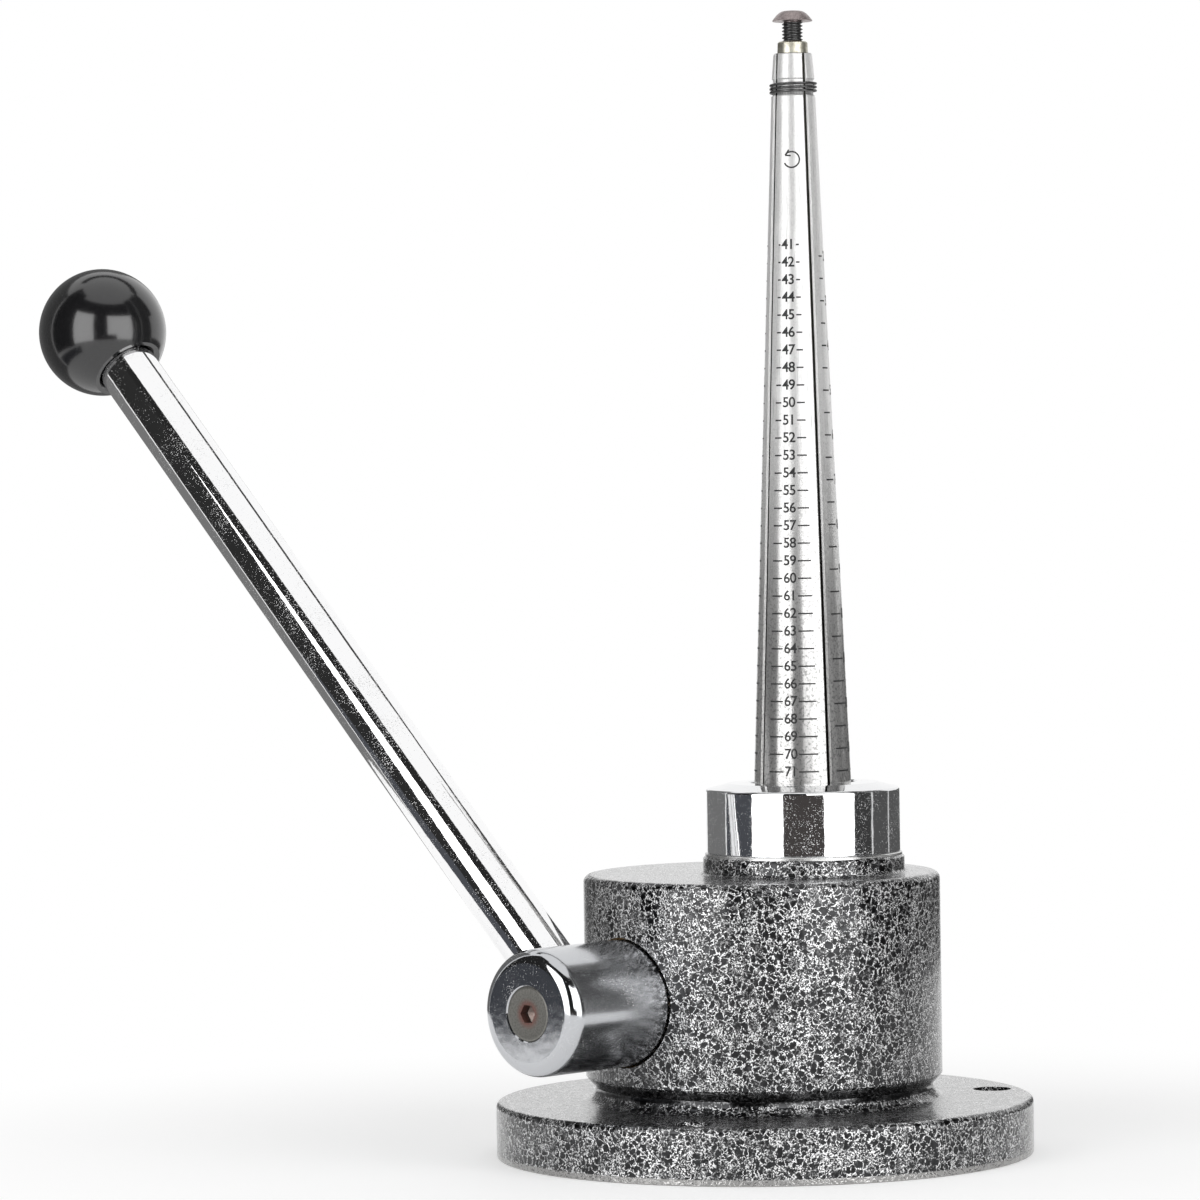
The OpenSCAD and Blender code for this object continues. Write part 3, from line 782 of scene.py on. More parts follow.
class Bench:
    """Models one piece at a time with operators; the piece being worked is the active object."""

    @staticmethod
    def clear() -> None:
        """Leaves nothing selected."""
        if bpy.context.object is not None and bpy.context.object.mode != "OBJECT":
            bpy.ops.object.mode_set(mode="OBJECT")
        bpy.ops.object.select_all(action="DESELECT")

    @staticmethod
    def open() -> None:
        """Opens the active piece in edit mode, with all of it selected."""
        bpy.ops.object.mode_set(mode="EDIT")
        bpy.ops.mesh.select_all(action="SELECT")

    @staticmethod
    def close() -> None:
        """Goes back to object mode."""
        bpy.ops.object.mode_set(mode="OBJECT")

    @staticmethod
    def fix() -> None:
        """Applies the active piece's place, turn and scale to its mesh."""
        bpy.ops.object.transform_apply(location=True, rotation=True, scale=True)

    @staticmethod
    def take(piece: bpy.types.Object) -> None:
        """Selects one piece and makes it active.

        Args:
            piece: the piece.
        """
        Bench.clear()
        piece.select_set(True)
        bpy.context.view_layer.objects.active = piece

    @staticmethod
    def ring(radius: float, height: float, segments: int) -> bpy.types.Object:
        """Adds a circle round the Z axis and opens it in edit mode.

        Args:
            radius: its radius in millimetres.
            height: its height in millimetres.
            segments: its sides.

        Returns:
            The circle.
        """
        Bench.clear()
        bpy.ops.mesh.primitive_circle_add(vertices=segments, radius=radius * MM, location=(0, 0, height * MM))
        Bench.fix()
        Bench.open()
        return bpy.context.object

    @staticmethod
    def turn(profile: Sequence[tuple[float, float]], segments: int) -> bpy.types.Object:
        """Turns a piece round the Z axis by extruding and scaling a circle along its profile.

        Args:
            profile: (radius, height) points in millimetres, from one closed end to the other.
            segments: sides of the circle.

        Returns:
            The closed piece, in object mode.
        """
        radius, height = profile[0]
        piece = Bench.ring(radius, height, segments)
        bpy.ops.mesh.edge_face_add()
        for next_radius, next_height in profile[1:]:
            rise = (0.0, 0.0, (next_height - height) * MM)
            bpy.ops.mesh.extrude_region_move(TRANSFORM_OT_translate={"value": rise})
            factor = next_radius / radius
            middle = (0.0, 0.0, next_height * MM)
            bpy.ops.transform.resize(value=(factor, factor, 1.0), center_override=middle)
            radius, height = next_radius, next_height
        Bench.even()
        return piece

    @staticmethod
    def rail(points: Sequence[tuple[float, float, float]]) -> bpy.types.Object:
        """Draws an edge through points by extruding one vertex.

        Args:
            points: the points in millimetres.

        Returns:
            The edge, in object mode.
        """
        Bench.clear()
        bpy.ops.mesh.primitive_plane_add(size=MM, location=tuple(value * MM for value in points[0]))
        Bench.fix()
        Bench.open()
        bpy.ops.mesh.merge(type="CENTER")
        for here, there in zip(points, points[1:]):
            step = tuple((b - a) * MM for a, b in zip(here, there))
            bpy.ops.mesh.extrude_region_move(TRANSFORM_OT_translate={"value": step})
        Bench.close()
        return bpy.context.object

    @staticmethod
    def helix(pitch: float, turns: float, steps: int) -> None:
        """Sweeps the active piece's outline up a helix round the Z axis.

        Args:
            pitch: rise of one turn in millimetres.
            turns: how many turns.
            steps: steps in a turn.
        """
        Bench.close()
        screw = bpy.context.object.modifiers.new("helix", "SCREW")
        screw.axis = "Z"
        screw.angle = math.tau * turns
        screw.screw_offset = pitch * turns * MM
        screw.steps = screw.render_steps = round(steps * turns)
        screw.use_merge_vertices = True
        screw.merge_threshold = SEAM * MM
        bpy.ops.object.modifier_apply(modifier=screw.name)

    @staticmethod
    def saw(at: tuple[float, float, float], normal: tuple[float, float, float]) -> None:
        """Cuts the active piece at a plane, drops what is beyond it and closes the cut.

        Args:
            at: a point of the plane in millimetres.
            normal: the way that the dropped side lies.
        """
        Bench.open()
        place = tuple(value * MM for value in at)
        bpy.ops.mesh.bisect(
            plane_co=place, plane_no=normal, use_fill=True, clear_outer=True, threshold=SHARP * MM
        )
        Bench.close()

    @staticmethod
    def hex_hole(head: bpy.types.Object, across_flats: float, bottom: float, top: float) -> None:
        """Cuts a hexagonal socket with a conical floor into a head that points up.

        Args:
            head: the screw.
            across_flats: the socket's width in millimetres.
            bottom: height of its floor's rim in millimetres.
            top: a height above the head in millimetres.
        """
        corner = hex_corner(across_flats)
        bar = Bench.turn([(corner * 0.3, bottom - 0.3 * corner), (corner, bottom), (corner, top)], 6)
        cut = head.modifiers.new("socket", "BOOLEAN")
        cut.object, cut.operation, cut.solver = bar, "DIFFERENCE", "EXACT"
        Bench.take(head)
        bpy.ops.object.modifier_apply(modifier=cut.name)
        bpy.data.objects.remove(bar)

    @staticmethod
    def even() -> None:
        """Turns all faces of the active piece outward."""
        Bench.open()
        bpy.ops.mesh.normals_make_consistent(inside=False)
        Bench.close()

    @staticmethod
    def merge(distance: float) -> None:
        """Merges points of the active piece that lie close together.

        Args:
            distance: how close, in millimetres.
        """
        Bench.open()
        bpy.ops.mesh.remove_doubles(threshold=distance * MM)
        Bench.close()

    @staticmethod
    def smooth(piece: bpy.types.Object, angle: float) -> None:
        """Shades a piece smooth where its faces meet at less than angle degrees."""
        Bench.take(piece)
        bpy.ops.object.shade_smooth_by_angle(angle=math.radians(angle))

    @staticmethod
    def weld(pieces: Sequence[bpy.types.Object]) -> bpy.types.Object:
        """Joins pieces into the first one.

        Args:
            pieces: the pieces.

        Returns:
            The joined piece.
        """
        Bench.take(pieces[0])
        for piece in pieces:
            piece.select_set(True)
        bpy.ops.object.join()
        return bpy.context.object


# ---------------------------------------------------------------------------------------------------
# Studio
# ---------------------------------------------------------------------------------------------------


@dataclass(frozen=True)
class Viewpoint:
    """Where the photograph was taken from, in the object's frame."""

    stand: tuple[float, float, float] = (-944.8, -828.8, 155.3)
    heading: float = 42.95
    pitch: float = -1.111
    roll: float = 0.828
    focal_px: float = 5336.0
    image_px: float = 1200.0
    sensor: float = 36.0
    clip_m: tuple[float, float] = (0.05, 50.0)

    def place(self) -> None:
        """Creates the camera and makes it the scene's."""
        data = bpy.data.cameras.new("photo_camera")
        data.sensor_width = self.sensor
        data.sensor_fit = "HORIZONTAL"
        data.lens = self.focal_px / self.image_px * self.sensor
        data.clip_start, data.clip_end = self.clip_m
        h, p, r = (math.radians(a) for a in (self.heading, self.pitch, self.roll))
        ahead = Vector((math.cos(h) * math.cos(p), math.sin(h) * math.cos(p), math.sin(p)))
        level = Vector((math.sin(h), -math.cos(h), 0.0))
        upright = level.cross(ahead)
        right = level * math.cos(r) - upright * math.sin(r)
        up = upright * math.cos(r) + level * math.sin(r)
        camera = bpy.data.objects.new("photo_camera", data)
        turn = Matrix((right, up, -ahead)).transposed()
        camera.matrix_world = Matrix.Translation(Vector(self.stand) * MM) @ turn.to_4x4()
        bpy.context.scene.collection.objects.link(camera)
        bpy.context.scene.camera = camera


@dataclass(frozen=True)
class Card:
    """One upright card or window of the studio, bent round the object.

    Angles are in degrees from the direction of the camera, positive to the camera's right.
    """

    name: str
    start: float
    end: float
    level: float
    reach: float = 500.0
    low: float = 0.0
    high: float = 600.0
    start_above: float | None = None
    end_above: float | None = None
    tint: Colour = (1.0, 1.0, 1.0)
    gloss_only: bool = False


@dataclass
class Studio:
    """Pale floor, windows at the camera's sides and cards round the object that chrome can show.

    The camera looks through the windows and cards.
    """

    view: Viewpoint
    window_in_gloss: float = 3.2
    degrees_per_step: float = 4.0
    cards: tuple[Card, ...] = (
        Card("window_left", -64, -25, 2.5, 700, 0, 620),
        Card("window_right", 23, 60, 2.5, 700, 0, 620),
        Card("window_right_slant", 23, 23, 2.5, 700, 60, 120, start_above=3, gloss_only=True),
        Card("window_right_upper", 3, 23, 2.5, 700, 120, 620, gloss_only=True),
        Card("card_front", -25, 23, 0.065, 700, 0, 60, tint=(1.0, 0.9, 0.87)),
        Card("card_front_slant", -25, 23, 0.03, 700, 60, 120, end_above=3),
        Card("card_front_upper", -25, 3, 0.02, 700, 120, 1150),
        Card("card_above_left", -65, -25, 0.02, 700, 620, 1150),
        Card("card_above_right", 3, 60, 0.02, 700, 620, 1150),
        Card("card_left_low", -103.5, -64, 0.08, 380, 0, 75, tint=(0.9, 0.95, 1.08)),
        Card("card_left", -103.5, -64, 0.025, 600, 0, 1200),
        Card("slit_left", -105.5, -103.5, 1.0, 380, 0, 400),
        Card("card_back_left", -162, -105.5, 0.18, 380, 0, 420),
        Card("card_right", 60, 85, 0.05, 500, 0, 1000),
        Card("slit_right", 85, 87, 0.9, 500, 0, 220),
        Card("card_right_far", 87, 116, 0.09, 500, 0, 1000),
        Card("slit_back_right", 116, 118, 0.8, 500, 0, 400),
        Card("card_back_right", 118, 162, 0.1, 500, 0, 130),
        Card("card_corner", 116, 129, 0.06, 495, 400, 900),
        Card("card_back_high", 125, 235, 0.05, 600, 900, 1150, gloss_only=True),
    )
    sky: float = 0.85
    floor_size: float = 8.0
    floor_colour: Colour = (0.88, 0.88, 0.88)
    floor_lift: float = 0.42
    floor_near: float = 70.0
    floor_far: float = 260.0

    def build(self) -> None:
        """Makes the world, the floor and the cards."""
        self.surroundings()
        self.floor()
        for card in self.cards:
            self.stand(card)
        bpy.context.scene.view_settings.view_transform = "Standard"

    def surroundings(self) -> None:
        """Makes the world: white where it is seen, directly or in gloss, and a soft light otherwise."""
        world = bpy.data.worlds.new("studio")
        bpy.context.scene.world = world
        world.use_nodes = True
        r = Tree(world.node_tree)
        r.clear()
        light = r.add("ShaderNodeBackground", {"Strength": self.sky})
        white = r.add("ShaderNodeBackground", {"Color": (1.0, 1.0, 1.0)})
        choice = r.add("ShaderNodeMixShader", {0: r.seen(), 1: light.outputs[0], 2: white.outputs[0]})
        r.add("ShaderNodeOutputWorld", {"Surface": choice.outputs[0]})

    def floor(self) -> None:
        """Lays the pale floor, which keeps the shadow near the object and is plain white far from it."""
        bpy.ops.mesh.primitive_plane_add(size=self.floor_size, location=(0, 0, 0))
        plane = bpy.context.object
        plane.name = "floor"
        material = bpy.data.materials.new("pale_floor")
        material.use_nodes = True
        r = Tree(material.node_tree)
        r.clear()
        radius = r.vector("LENGTH", {0: r.add("ShaderNodeTexCoord").outputs["Object"]}, "Value")
        far = r.step(radius, self.floor_near * MM, self.floor_far * MM)
        paint = r.add("ShaderNodeBsdfDiffuse", {"Color": self.floor_colour})
        lift = r.add("ShaderNodeEmission", {"Strength": self.floor_lift})
        lifted = r.add("ShaderNodeAddShader", {0: paint.outputs[0], 1: lift.outputs[0]})
        white = r.add("ShaderNodeEmission")
        sight = r.add("ShaderNodeMixShader", {0: far, 1: lifted.outputs[0], 2: white.outputs[0]})
        choice = r.add("ShaderNodeMixShader", {0: r.seen(), 1: paint.outputs[0], 2: sight.outputs[0]})
        r.add("ShaderNodeOutputMaterial", {"Surface": choice.outputs[0]})
        plane.data.materials.append(material)

    def stand(self, card: Card) -> None:
        """Stands one card round the object, invisible to the camera.

        Args:
            card: the card's place, size and level.
        """
        steps = max(1, round((card.end - card.start) / self.degrees_per_step))
        foot = [self.spot(card, card.start, card.end, k / steps, card.low) for k in range(steps + 1)]
        stand = Bench.rail(foot)
        stand.name = stand.data.name = card.name
        Bench.open()
        rise = (0, 0, (card.high - card.low) * MM)
        bpy.ops.mesh.extrude_region_move(TRANSFORM_OT_translate={"value": rise})
        Bench.close()
        if card.start_above is not None or card.end_above is not None:
            self.slant(stand, card, steps)
        stand.visible_camera = False
        stand.visible_diffuse = stand.visible_shadow = not card.gloss_only
        material = bpy.data.materials.new(card.name)
        material.use_nodes = True
        r = Tree(material.node_tree)
        r.clear()
        glow = r.add("ShaderNodeEmission", {"Color": card.tint, "Strength": card.level})
        if card.name.startswith("window"):
            brighter = r.math("MULTIPLY_ADD", r.gloss(), self.window_in_gloss - card.level, card.level)
            r.feed(glow.inputs["Strength"], brighter)
        else:
            material.cycles.emission_sampling = "NONE"
        r.add("ShaderNodeOutputMaterial", {"Surface": glow.outputs[0]})
        stand.data.materials.append(material)

    def spot(
        self, card: Card, start: float, end: float, share: float, z: float
    ) -> tuple[float, float, float]:
        """A point of a card's edge, share of the way from start to end, in millimetres."""
        angle = math.radians(self.view.heading + 180.0 + start + (end - start) * share)
        return (card.reach * math.cos(angle), card.reach * math.sin(angle), z)

    def slant(self, stand: bpy.types.Object, card: Card, steps: int) -> None:
        """Moves the upper edge of a card to its own first and last angles.

        Args:
            stand: the card's piece.
            card: the card's place, size and level.
            steps: how many panels it has.
        """
        start = card.start if card.start_above is None else card.start_above
        end = card.end if card.end_above is None else card.end_above
        above = [vertex for vertex in stand.data.vertices if vertex.co.z > (card.low + 1.0) * MM]
        foot = [self.spot(card, card.start, card.end, k / steps, card.high) for k in range(steps + 1)]
        for vertex in above:
            share = min(range(steps + 1), key=lambda k: (vertex.co - Vector(foot[k]) * MM).length) / steps
            vertex.co = Vector(self.spot(card, start, end, share, card.high)) * MM


# ---------------------------------------------------------------------------------------------------
# The object
# ---------------------------------------------------------------------------------------------------


@dataclass
class PlainNodes:
    """CAD nodes that keep their shape and get a finish."""

    finishes: dict[str, Finish] = field(
        default_factory=lambda: {
            "base_casting": Finish.ENAMEL,
            "shaft_bush": Finish.BRONZE,
            "rod_guide_bush": Finish.BRONZE,
            "seat_ring": Finish.BRIGHT,
            "collar": Finish.CHROME,
            "guide_plate": Finish.INNER,
            "foot_ring": Finish.RUBBER,
            "retaining_wire": Finish.WIRE,
            "shaft_set_screw": Finish.BLACKED,
            **{f"jaw_{k}": Finish.GROUND for k in (1, 2, 3, 4)},
            "taper_rod": Finish.ROD,
            "thrust_stud": Finish.INNER,
            "top_screw": Finish.TOP_SCREW,
            "crank_shaft": Finish.INNER,
            "crank_pin": Finish.BRIGHT,
            "crank_roller": Finish.BRIGHT,
            "roller_clip": Finish.BLACKED,
            "hub": Finish.WORN_CHROME,
            "hub_screw": Finish.HUB_SCREW,
            "lever_rod": Finish.ROD_CHROME,
            "ball_knob": Finish.BALL,
            "knob_insert": Finish.BRASS,
        }
    )

    def build(self, shop: Workshop) -> None:
        """Dresses every node."""
        for node, finish in self.finishes.items():
            shop.dress(node, finish)


@dataclass(frozen=True)
class Mark:
    """One line of a scale: the circumference where it stands, and its number if it has one."""

    circumference: float
    number: str = ""


@dataclass(frozen=True)
class Ruling:
    """How long the lines of a scale are, and where its numbers stand from the jaw's centre line."""

    left_first: float = 0.5
    left_last: float = 3.9
    right_first: float = 0.7
    right_last: float = 4.7
    middle: float = -0.5
    room: float = 1.9


class Scale(Enum):
    """The ring measures on the jaws, all of them read as plain numbers."""

    CIRCUMFERENCE = "jaw_3"
    HALF_SIZES = "jaw_4"
    CIRCUMFERENCE_OVER_40 = "jaw_2"
    DIAMETER = "jaw_1"

    @property
    def ruling(self) -> Ruling:
        """The lines and places of this scale; the half sizes have longer lines on the left."""
        return Ruling(1.4, 5.4, 0.5, 2.6, 0.3, 1.6) if self is Scale.HALF_SIZES else Ruling()

    def marks(self) -> list[Mark]:
        """The lines of this scale.

        Returns:
            Its lines from the tip down: whole circumferences, or diameters and sizes by halves.
        """
        circumferences = range(FIRST_MARK, LAST_MARK + 1)
        if self is Scale.CIRCUMFERENCE:
            return [Mark(n, str(n)) for n in circumferences]
        if self is Scale.CIRCUMFERENCE_OVER_40:
            return [Mark(n, str(n - 40)) for n in circumferences]
        if self is Scale.DIAMETER:
            return [Mark(math.pi * n / 2, whole(n / 2)) for n in range(26, 46)]
        diameters = {n / 2: SIZE_0_DIAMETER + DIAMETER_PER_SIZE * n / 2 for n in range(4, 28)}
        return [Mark(math.pi * diameter, whole(size)) for size, diameter in diameters.items()]


@dataclass
class JawScales:
    """Thin engraved lines and numbers on the four jaws, filled black, in millimetres."""

    taper: Taper = Taper()
    first_direction: float = 29.7
    line: float = 0.34
    proud: float = 0.02
    sunk: float = 0.03
    number_height: float = 2.45
    number_narrow: float = 0.98
    number_bold: float = 0.05
    sign_circumference: float = 36.15
    sign_middle: float = 0.5
    sign_line: float = 0.36
    sign_r: float = 1.85
    sign_gap: tuple[float, float] = (146.0, 204.0)
    sign_steps: int = 30
    sign_barbs: tuple[tuple[float, float], ...] = ((1.35, -0.12), (0.9, 1.25))
    em_per_height: float = 1.36
    letter_space: float = 0.94
    curve_steps: int = 6
    strip: float = 0.35
    widest: float = 8.4

    def build(self, shop: Workshop) -> None:
        """Makes one piece of marks for each jaw.

        Args:
            shop: dresses and mounts the pieces.
        """
        for scale in Scale:
            parts = []
            for mark in scale.marks():
                parts += self.lines(mark, scale.ruling)
                if mark.number:
                    parts.append(self.number(mark, scale.ruling.middle))
            if scale is Scale.CIRCUMFERENCE:
                parts += self.turn_sign(self.taper.height(self.sign_circumference))
            piece = Bench.weld(parts)
            self.slice()
            self.wrap(piece, scale)
            Bench.even()
            shop.hand_over(piece, f"scale_on_{scale.value}", scale.value, Finish.ENGRAVED)

    def share(self, mark: Mark) -> float:
        """How far down the scale a mark is, from 0 at the first to 1 at the last."""
        return (mark.circumference - FIRST_MARK) / (LAST_MARK - FIRST_MARK)

    def lines(self, mark: Mark, rule: Ruling) -> list[bpy.types.Object]:
        """The lines left and right of a number, flat, with the arc as X and the height as Y.

        Args:
            mark: the mark.
            rule: how long this scale's lines are.

        Returns:
            The two lines.
        """
        z = self.taper.height(mark.circumference)
        down = self.share(mark)
        left = rule.left_first + (rule.left_last - rule.left_first) * down
        right = rule.right_first + (rule.right_last - rule.right_first) * down
        inner_left, inner_right = rule.middle - rule.room, rule.middle + rule.room
        return [self.bar(inner_left - left, inner_left, z), self.bar(inner_right, inner_right + right, z)]

    def bar(self, start: float, end: float, z: float, width: float | None = None) -> bpy.types.Object:
        """One straight level line, in millimetres.

        Args:
            start: where it starts on the arc.
            end: where it ends.
            z: its height.
            width: its width, or None for that of the scale's lines.

        Returns:
            The line.
        """
        Bench.clear()
        bpy.ops.mesh.primitive_cube_add(size=MM, location=((start + end) / 2 * MM, z * MM, 0))
        bar = bpy.context.object
        bar.scale = (end - start, width or self.line, self.sunk + self.proud)
        Bench.fix()
        return bar

    def number(self, mark: Mark, middle: float) -> bpy.types.Object:
        """A number as a flat mesh, centred on its mark.

        Args:
            mark: the mark.
            middle: the number's place on the arc in millimetres.

        Returns:
            The number.
        """
        Bench.clear()
        bpy.ops.object.text_add(location=(0, 0, 0))
        text = bpy.context.object
        text.data.body = mark.number
        text.data.size = self.number_height * self.em_per_height * MM
        text.data.align_x, text.data.align_y = "CENTER", "CENTER"
        text.data.extrude = (self.sunk + self.proud) / 2 * MM
        text.data.offset = self.number_bold * MM
        text.data.resolution_u = self.curve_steps
        text.data.space_character = self.letter_space
        bpy.ops.object.convert(target="MESH")
        number = bpy.context.object
        number.scale = (self.number_narrow, 1.0, 1.0)
        number.location = (middle * MM, self.taper.height(mark.circumference) * MM, 0)
        Bench.fix()
        Bench.merge(SHARP)
        return number

    def turn_sign(self, z: float) -> list[bpy.types.Object]:
        """A plain sign for turning: an open ring with an arrow's head.

        Args:
            z: the height of its middle in millimetres.

        Returns:
            The ring and the two strokes of the head.
        """
        gap_start, gap_end = (math.radians(angle) for angle in self.sign_gap)
        Bench.clear()
        bpy.ops.mesh.primitive_plane_add(size=MM, location=(self.sign_r * MM, 0, 0))
        ring = bpy.context.object
        ring.scale = (self.sign_line, self.sunk + self.proud, 1.0)
        ring.rotation_euler = (math.pi / 2, 0, 0)
        Bench.fix()
        Bench.open()
        sweep = math.tau - (gap_end - gap_start)
        bpy.ops.mesh.spin(steps=self.sign_steps, angle=-sweep, center=(0, 0, 0), axis=(0, 0, 1))
        Bench.close()
        for vertex in ring.data.vertices:
            spun = Matrix.Rotation(gap_end, 3, "Z") @ vertex.co
            vertex.co = spun + Vector((self.sign_middle * MM, z * MM, 0))
        tip = Vector((math.cos(gap_start), math.sin(gap_start))) * self.sign_r
        return [ring, *(self.stroke(tip, tip + Vector(barb), z) for barb in self.sign_barbs)]

    def stroke(self, start: Vector, end: Vector, z: float) -> bpy.types.Object:
        """A straight stroke of the sign.

        Args:
            start: its first end, flat, from the sign's middle, in millimetres.
            end: its other end.
            z: the height of the sign's middle.

        Returns:
            The stroke.
        """
        along = end - start
        bar = self.bar(0.0, along.length, 0.0, self.sign_line)
        turn = Matrix.Rotation(math.atan2(along.y, along.x), 4, "Z")
        move = Matrix.Translation(((start.x + self.sign_middle) * MM, (start.y + z) * MM, 0))
        bar.data.transform(move @ turn)
        return bar

    def slice(self) -> None:
        """Cuts the active piece's flat marks into narrow upright strips, so that they can follow the cone."""
        strips = math.ceil(self.widest / self.strip)
        for k in range(-strips, strips + 1):
            Bench.open()
            bpy.ops.mesh.bisect(plane_co=(k * self.strip * MM, 0, 0), plane_no=(1, 0, 0))
        Bench.close()

    def wrap(self, piece: bpy.types.Object, scale: Scale) -> None:
        """Bends flat marks onto a jaw's cone.

        Args:
            piece: the marks.
            scale: their scale, named after its jaw.
        """
        direction = math.radians(self.first_direction + 90.0 * (int(scale.value[-1]) - 1))
        middle = (self.proud - self.sunk) / 2
        for vertex in piece.data.vertices:
            z = vertex.co.y / MM
            radius = self.taper.radius(z)
            angle = direction + vertex.co.x / MM / radius
            out = radius + middle + vertex.co.z / MM
            x, y = self.taper.x + out * math.cos(angle), self.taper.y + out * math.sin(angle)
            vertex.co = Vector((x, y, z)) * MM


@dataclass
class TopScrew:
    """The button-head screw in the rod's end, with its real thread, in millimetres."""

    taper: Taper = Taper()
    foot_z: float = 250.3
    head_z: float = 266.1
    head_h: float = 2.4
    head_d: float = 9.5
    socket: float = 3.0
    socket_depth: float = 1.6
    socket_land: float = 0.25
    rim: float = 0.1
    underside_r: float = 1.2
    dome_steps: int = 10
    dome_power: float = 1.8
    crest_r: float = 2.46
    root_r: float = 1.98
    pitch: float = 0.8
    steps_per_turn: int = 32
    foot_trim: float = 0.013
    shank_in_head: float = 0.513
    seam: float = 0.002
    smooth_below: float = 32.0

    def build(self, shop: Workshop) -> None:
        """Makes the threaded shank and the head, and joins them.

        Args:
            shop: dresses and mounts the screw.
        """
        piece = Bench.weld([self.shank(), self.head()])
        piece.data.transform(Matrix.Translation((self.taper.x * MM, self.taper.y * MM, 0)))
        Bench.smooth(piece, self.smooth_below)
        shop.hand_over(piece, "threaded_top_screw", "rod", Finish.TOP_SCREW, "top_screw")

    def shank(self) -> bpy.types.Object:
        """Sweeps one pitch of thread up a helix and saws it off square.

        Returns:
            The shank, which reaches a little way into the head.
        """
        top = self.head_z + self.shank_in_head
        turns = math.ceil((top - self.foot_z) / self.pitch) + 2
        start = self.foot_z - self.pitch
        root, crest = self.root_r, self.crest_r
        outline = [(root, 0.0), (root, 0.1), (crest, 0.44), (crest, 0.56), (root, 0.9), (root, 1.0)]
        thread = Bench.rail([(r, 0.0, start + h * self.pitch) for r, h in outline])
        Bench.helix(self.pitch, turns, self.steps_per_turn)
        Bench.merge(self.seam)
        Bench.saw((0, 0, self.foot_z + self.foot_trim), (0, 0, -1))
        Bench.saw((0, 0, top), (0, 0, 1))
        Bench.even()
        return thread

    def head(self) -> bpy.types.Object:
        """Turns the domed head and cuts its six-sided socket.

        Returns:
            The head, flat underneath with a sharp rim.
        """
        crown, base, edge = self.head_z + self.head_h, self.head_z, self.head_d / 2
        profile = [(self.underside_r, base), (edge - self.rim, base), (edge, base + self.rim)]
        flat = hex_corner(self.socket) + self.socket_land
        for k in range(1, self.dome_steps + 1):
            share = k / self.dome_steps
            rise = (self.head_h - self.rim) * (1 - (1 - share) ** self.dome_power)
            profile.append((edge + (flat - edge) * share, base + self.rim + rise))
        head = Bench.turn(profile, SCREW_SIDES)
        Bench.hex_hole(head, self.socket, crown - self.socket_depth, crown + 1.0)
        return head


@dataclass
class HubScrew:
    """The countersunk screw that holds the hub on the cross shaft, in millimetres."""

    face: tuple[float, float, float] = (-72.8, 7.2, 38.2)
    head_d: float = 12.5
    rim: float = 0.3
    edge: float = 0.22
    shank_d: float = 6.0
    length: float = 15.0
    socket: float = 4.0
    socket_depth: float = 2.4
    point: float = 0.6
    dish: float = 0.04
    smooth_below: float = 32.0

    def build(self, shop: Workshop) -> None:
        """Turns the screw with its face up and lays it into the hub, face outward.

        Args:
            shop: dresses and mounts the screw.
        """
        head_r, shank_r = self.head_d / 2, self.shank_d / 2
        cone = head_r - shank_r
        end = [(shank_r - self.point, -self.length), (shank_r, -self.length + self.point)]
        sides = [(shank_r, -self.rim - cone), (head_r, -self.rim), (head_r, -self.edge)]
        corner = [(head_r - 0.3 * self.edge, -0.3 * self.edge), (head_r - self.edge, 0.0)]
        face = [(head_r - 0.6, -self.dish), (head_r * 0.5, -self.dish)]
        screw = Bench.turn([*end, *sides, *corner, *face], SCREW_SIDES)
        Bench.hex_hole(screw, self.socket, -self.socket_depth, 1.0)
        place = Matrix.Translation(Vector(self.face) * MM)
        screw.data.transform(place @ Matrix.Rotation(-math.pi / 2, 4, "Y"))
        Bench.smooth(screw, self.smooth_below)
        shop.hand_over(screw, "countersunk_hub_screw", "lever", Finish.HUB_SCREW, "hub_screw")


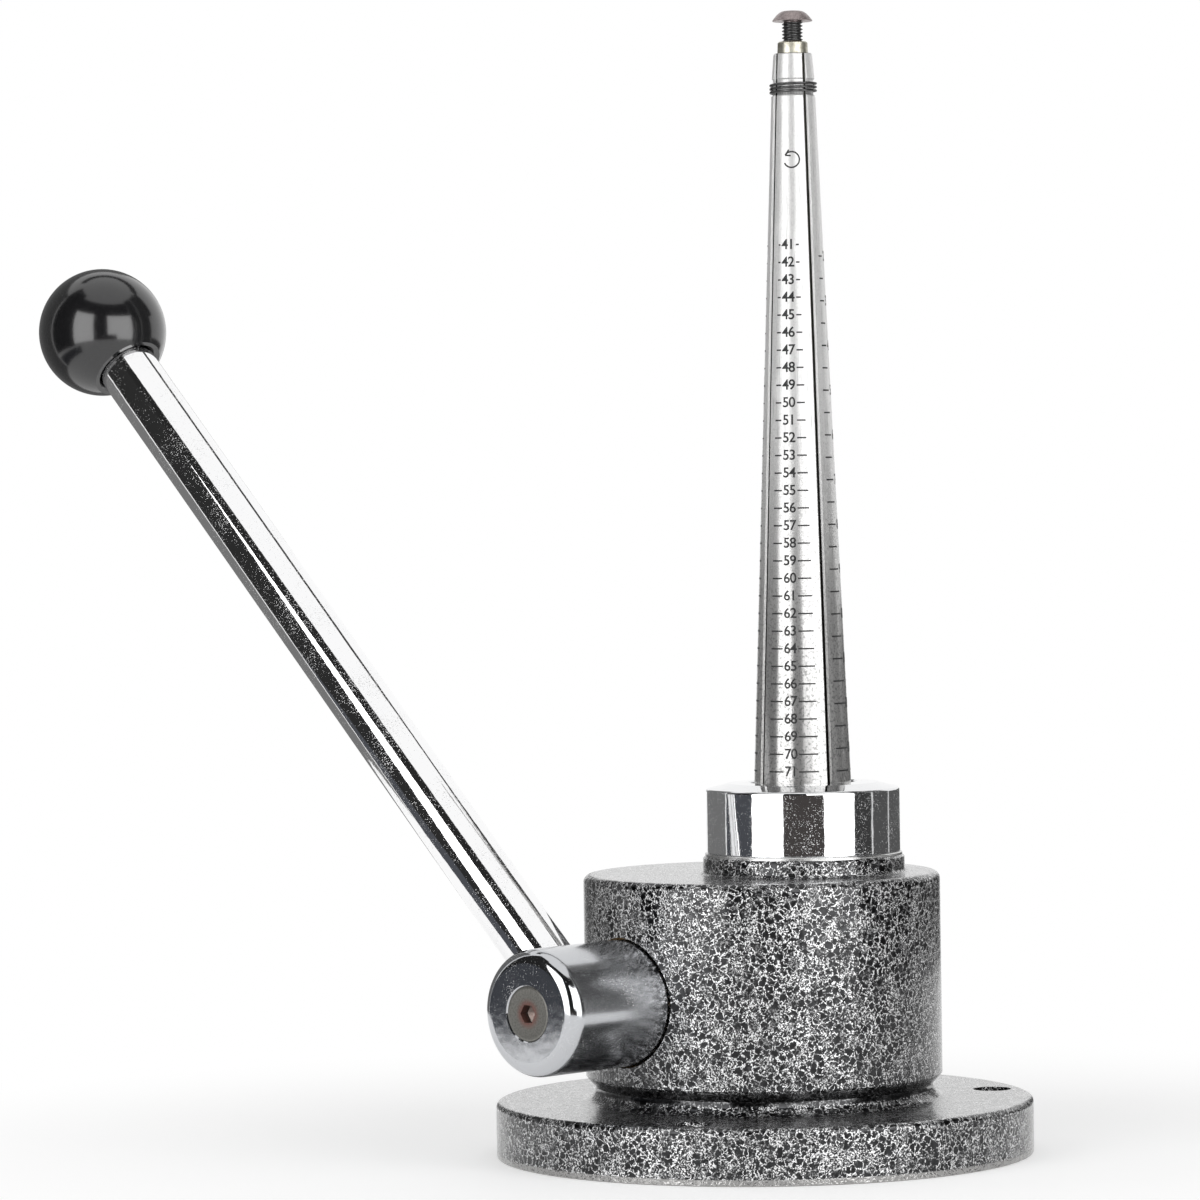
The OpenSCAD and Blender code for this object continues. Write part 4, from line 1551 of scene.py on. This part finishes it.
@dataclass
class SpringWire:
    """The spring wire wound round the jaws near their tip, in millimetres."""

    taper: Taper = Taper()
    wire_r: float = 0.3
    middle_z: float = 250.5
    turns: int = 3
    pitch: float = 0.84
    direction: float = 70.0
    coil_r: float = 5.3
    tail: float = 0.9
    sides: int = 14
    steps_per_turn: int = 72
    smooth_below: float = 50.0
    near: float = 0.001
    margin: float = 0.02

    def build(self, shop: Workshop) -> None:
        """Winds the wire and carries its ends on straight.

        Args:
            shop: dresses and mounts the wire.
        """
        Bench.clear()
        bpy.ops.mesh.primitive_circle_add(
            vertices=self.sides,
            radius=self.wire_r * MM,
            rotation=(math.pi / 2, 0, 0),
            location=(self.coil_r * MM, 0, 0),
        )
        wire = bpy.context.object
        Bench.fix()
        Bench.helix(self.pitch, self.turns, self.steps_per_turn)
        self.tails(wire)
        turn = Matrix.Rotation(math.radians(self.direction), 4, "Z")
        low = self.middle_z - self.turns * self.pitch / 2
        wire.data.transform(Matrix.Translation((self.taper.x * MM, self.taper.y * MM, low * MM)) @ turn)
        Bench.smooth(wire, self.smooth_below)
        shop.hand_over(wire, "wound_spring_wire", "base", Finish.WIRE, "retaining_wire")

    def tails(self, wire: bpy.types.Object) -> None:
        """Extrudes both open ends straight on and closes them.

        Args:
            wire: the coil, open at both ends.
        """
        Bench.take(wire)
        top = self.turns * self.pitch
        for height, way in ((0.0, -1.0), (top, 1.0)):
            bpy.ops.object.mode_set(mode="EDIT")
            bpy.ops.mesh.select_all(action="DESELECT")
            bpy.ops.object.mode_set(mode="OBJECT")
            for vertex in wire.data.vertices:
                on_cut = abs(vertex.co.y) < self.near * MM and vertex.co.x > 0
                vertex.select = on_cut and abs(vertex.co.z / MM - height) < self.wire_r + self.margin
            bpy.ops.object.mode_set(mode="EDIT")
            bpy.ops.mesh.extrude_region_move(TRANSFORM_OT_translate={"value": (0, way * self.tail * MM, 0)})
            bpy.ops.mesh.edge_face_add()
        Bench.even()


def main() -> None:
    """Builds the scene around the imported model."""
    logging.basicConfig(level=logging.INFO, format="%(message)s")
    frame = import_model()
    bpy.ops.object.select_all(action="DESELECT")
    view = Viewpoint()
    view.place()
    Studio(view).build()
    shop = Workshop(frame["nodes"])
    PlainNodes().build(shop)
    JawScales().build(shop)
    TopScrew().build(shop)
    HubScrew().build(shop)
    SpringWire().build(shop)


if __name__ == "__main__":
    main()
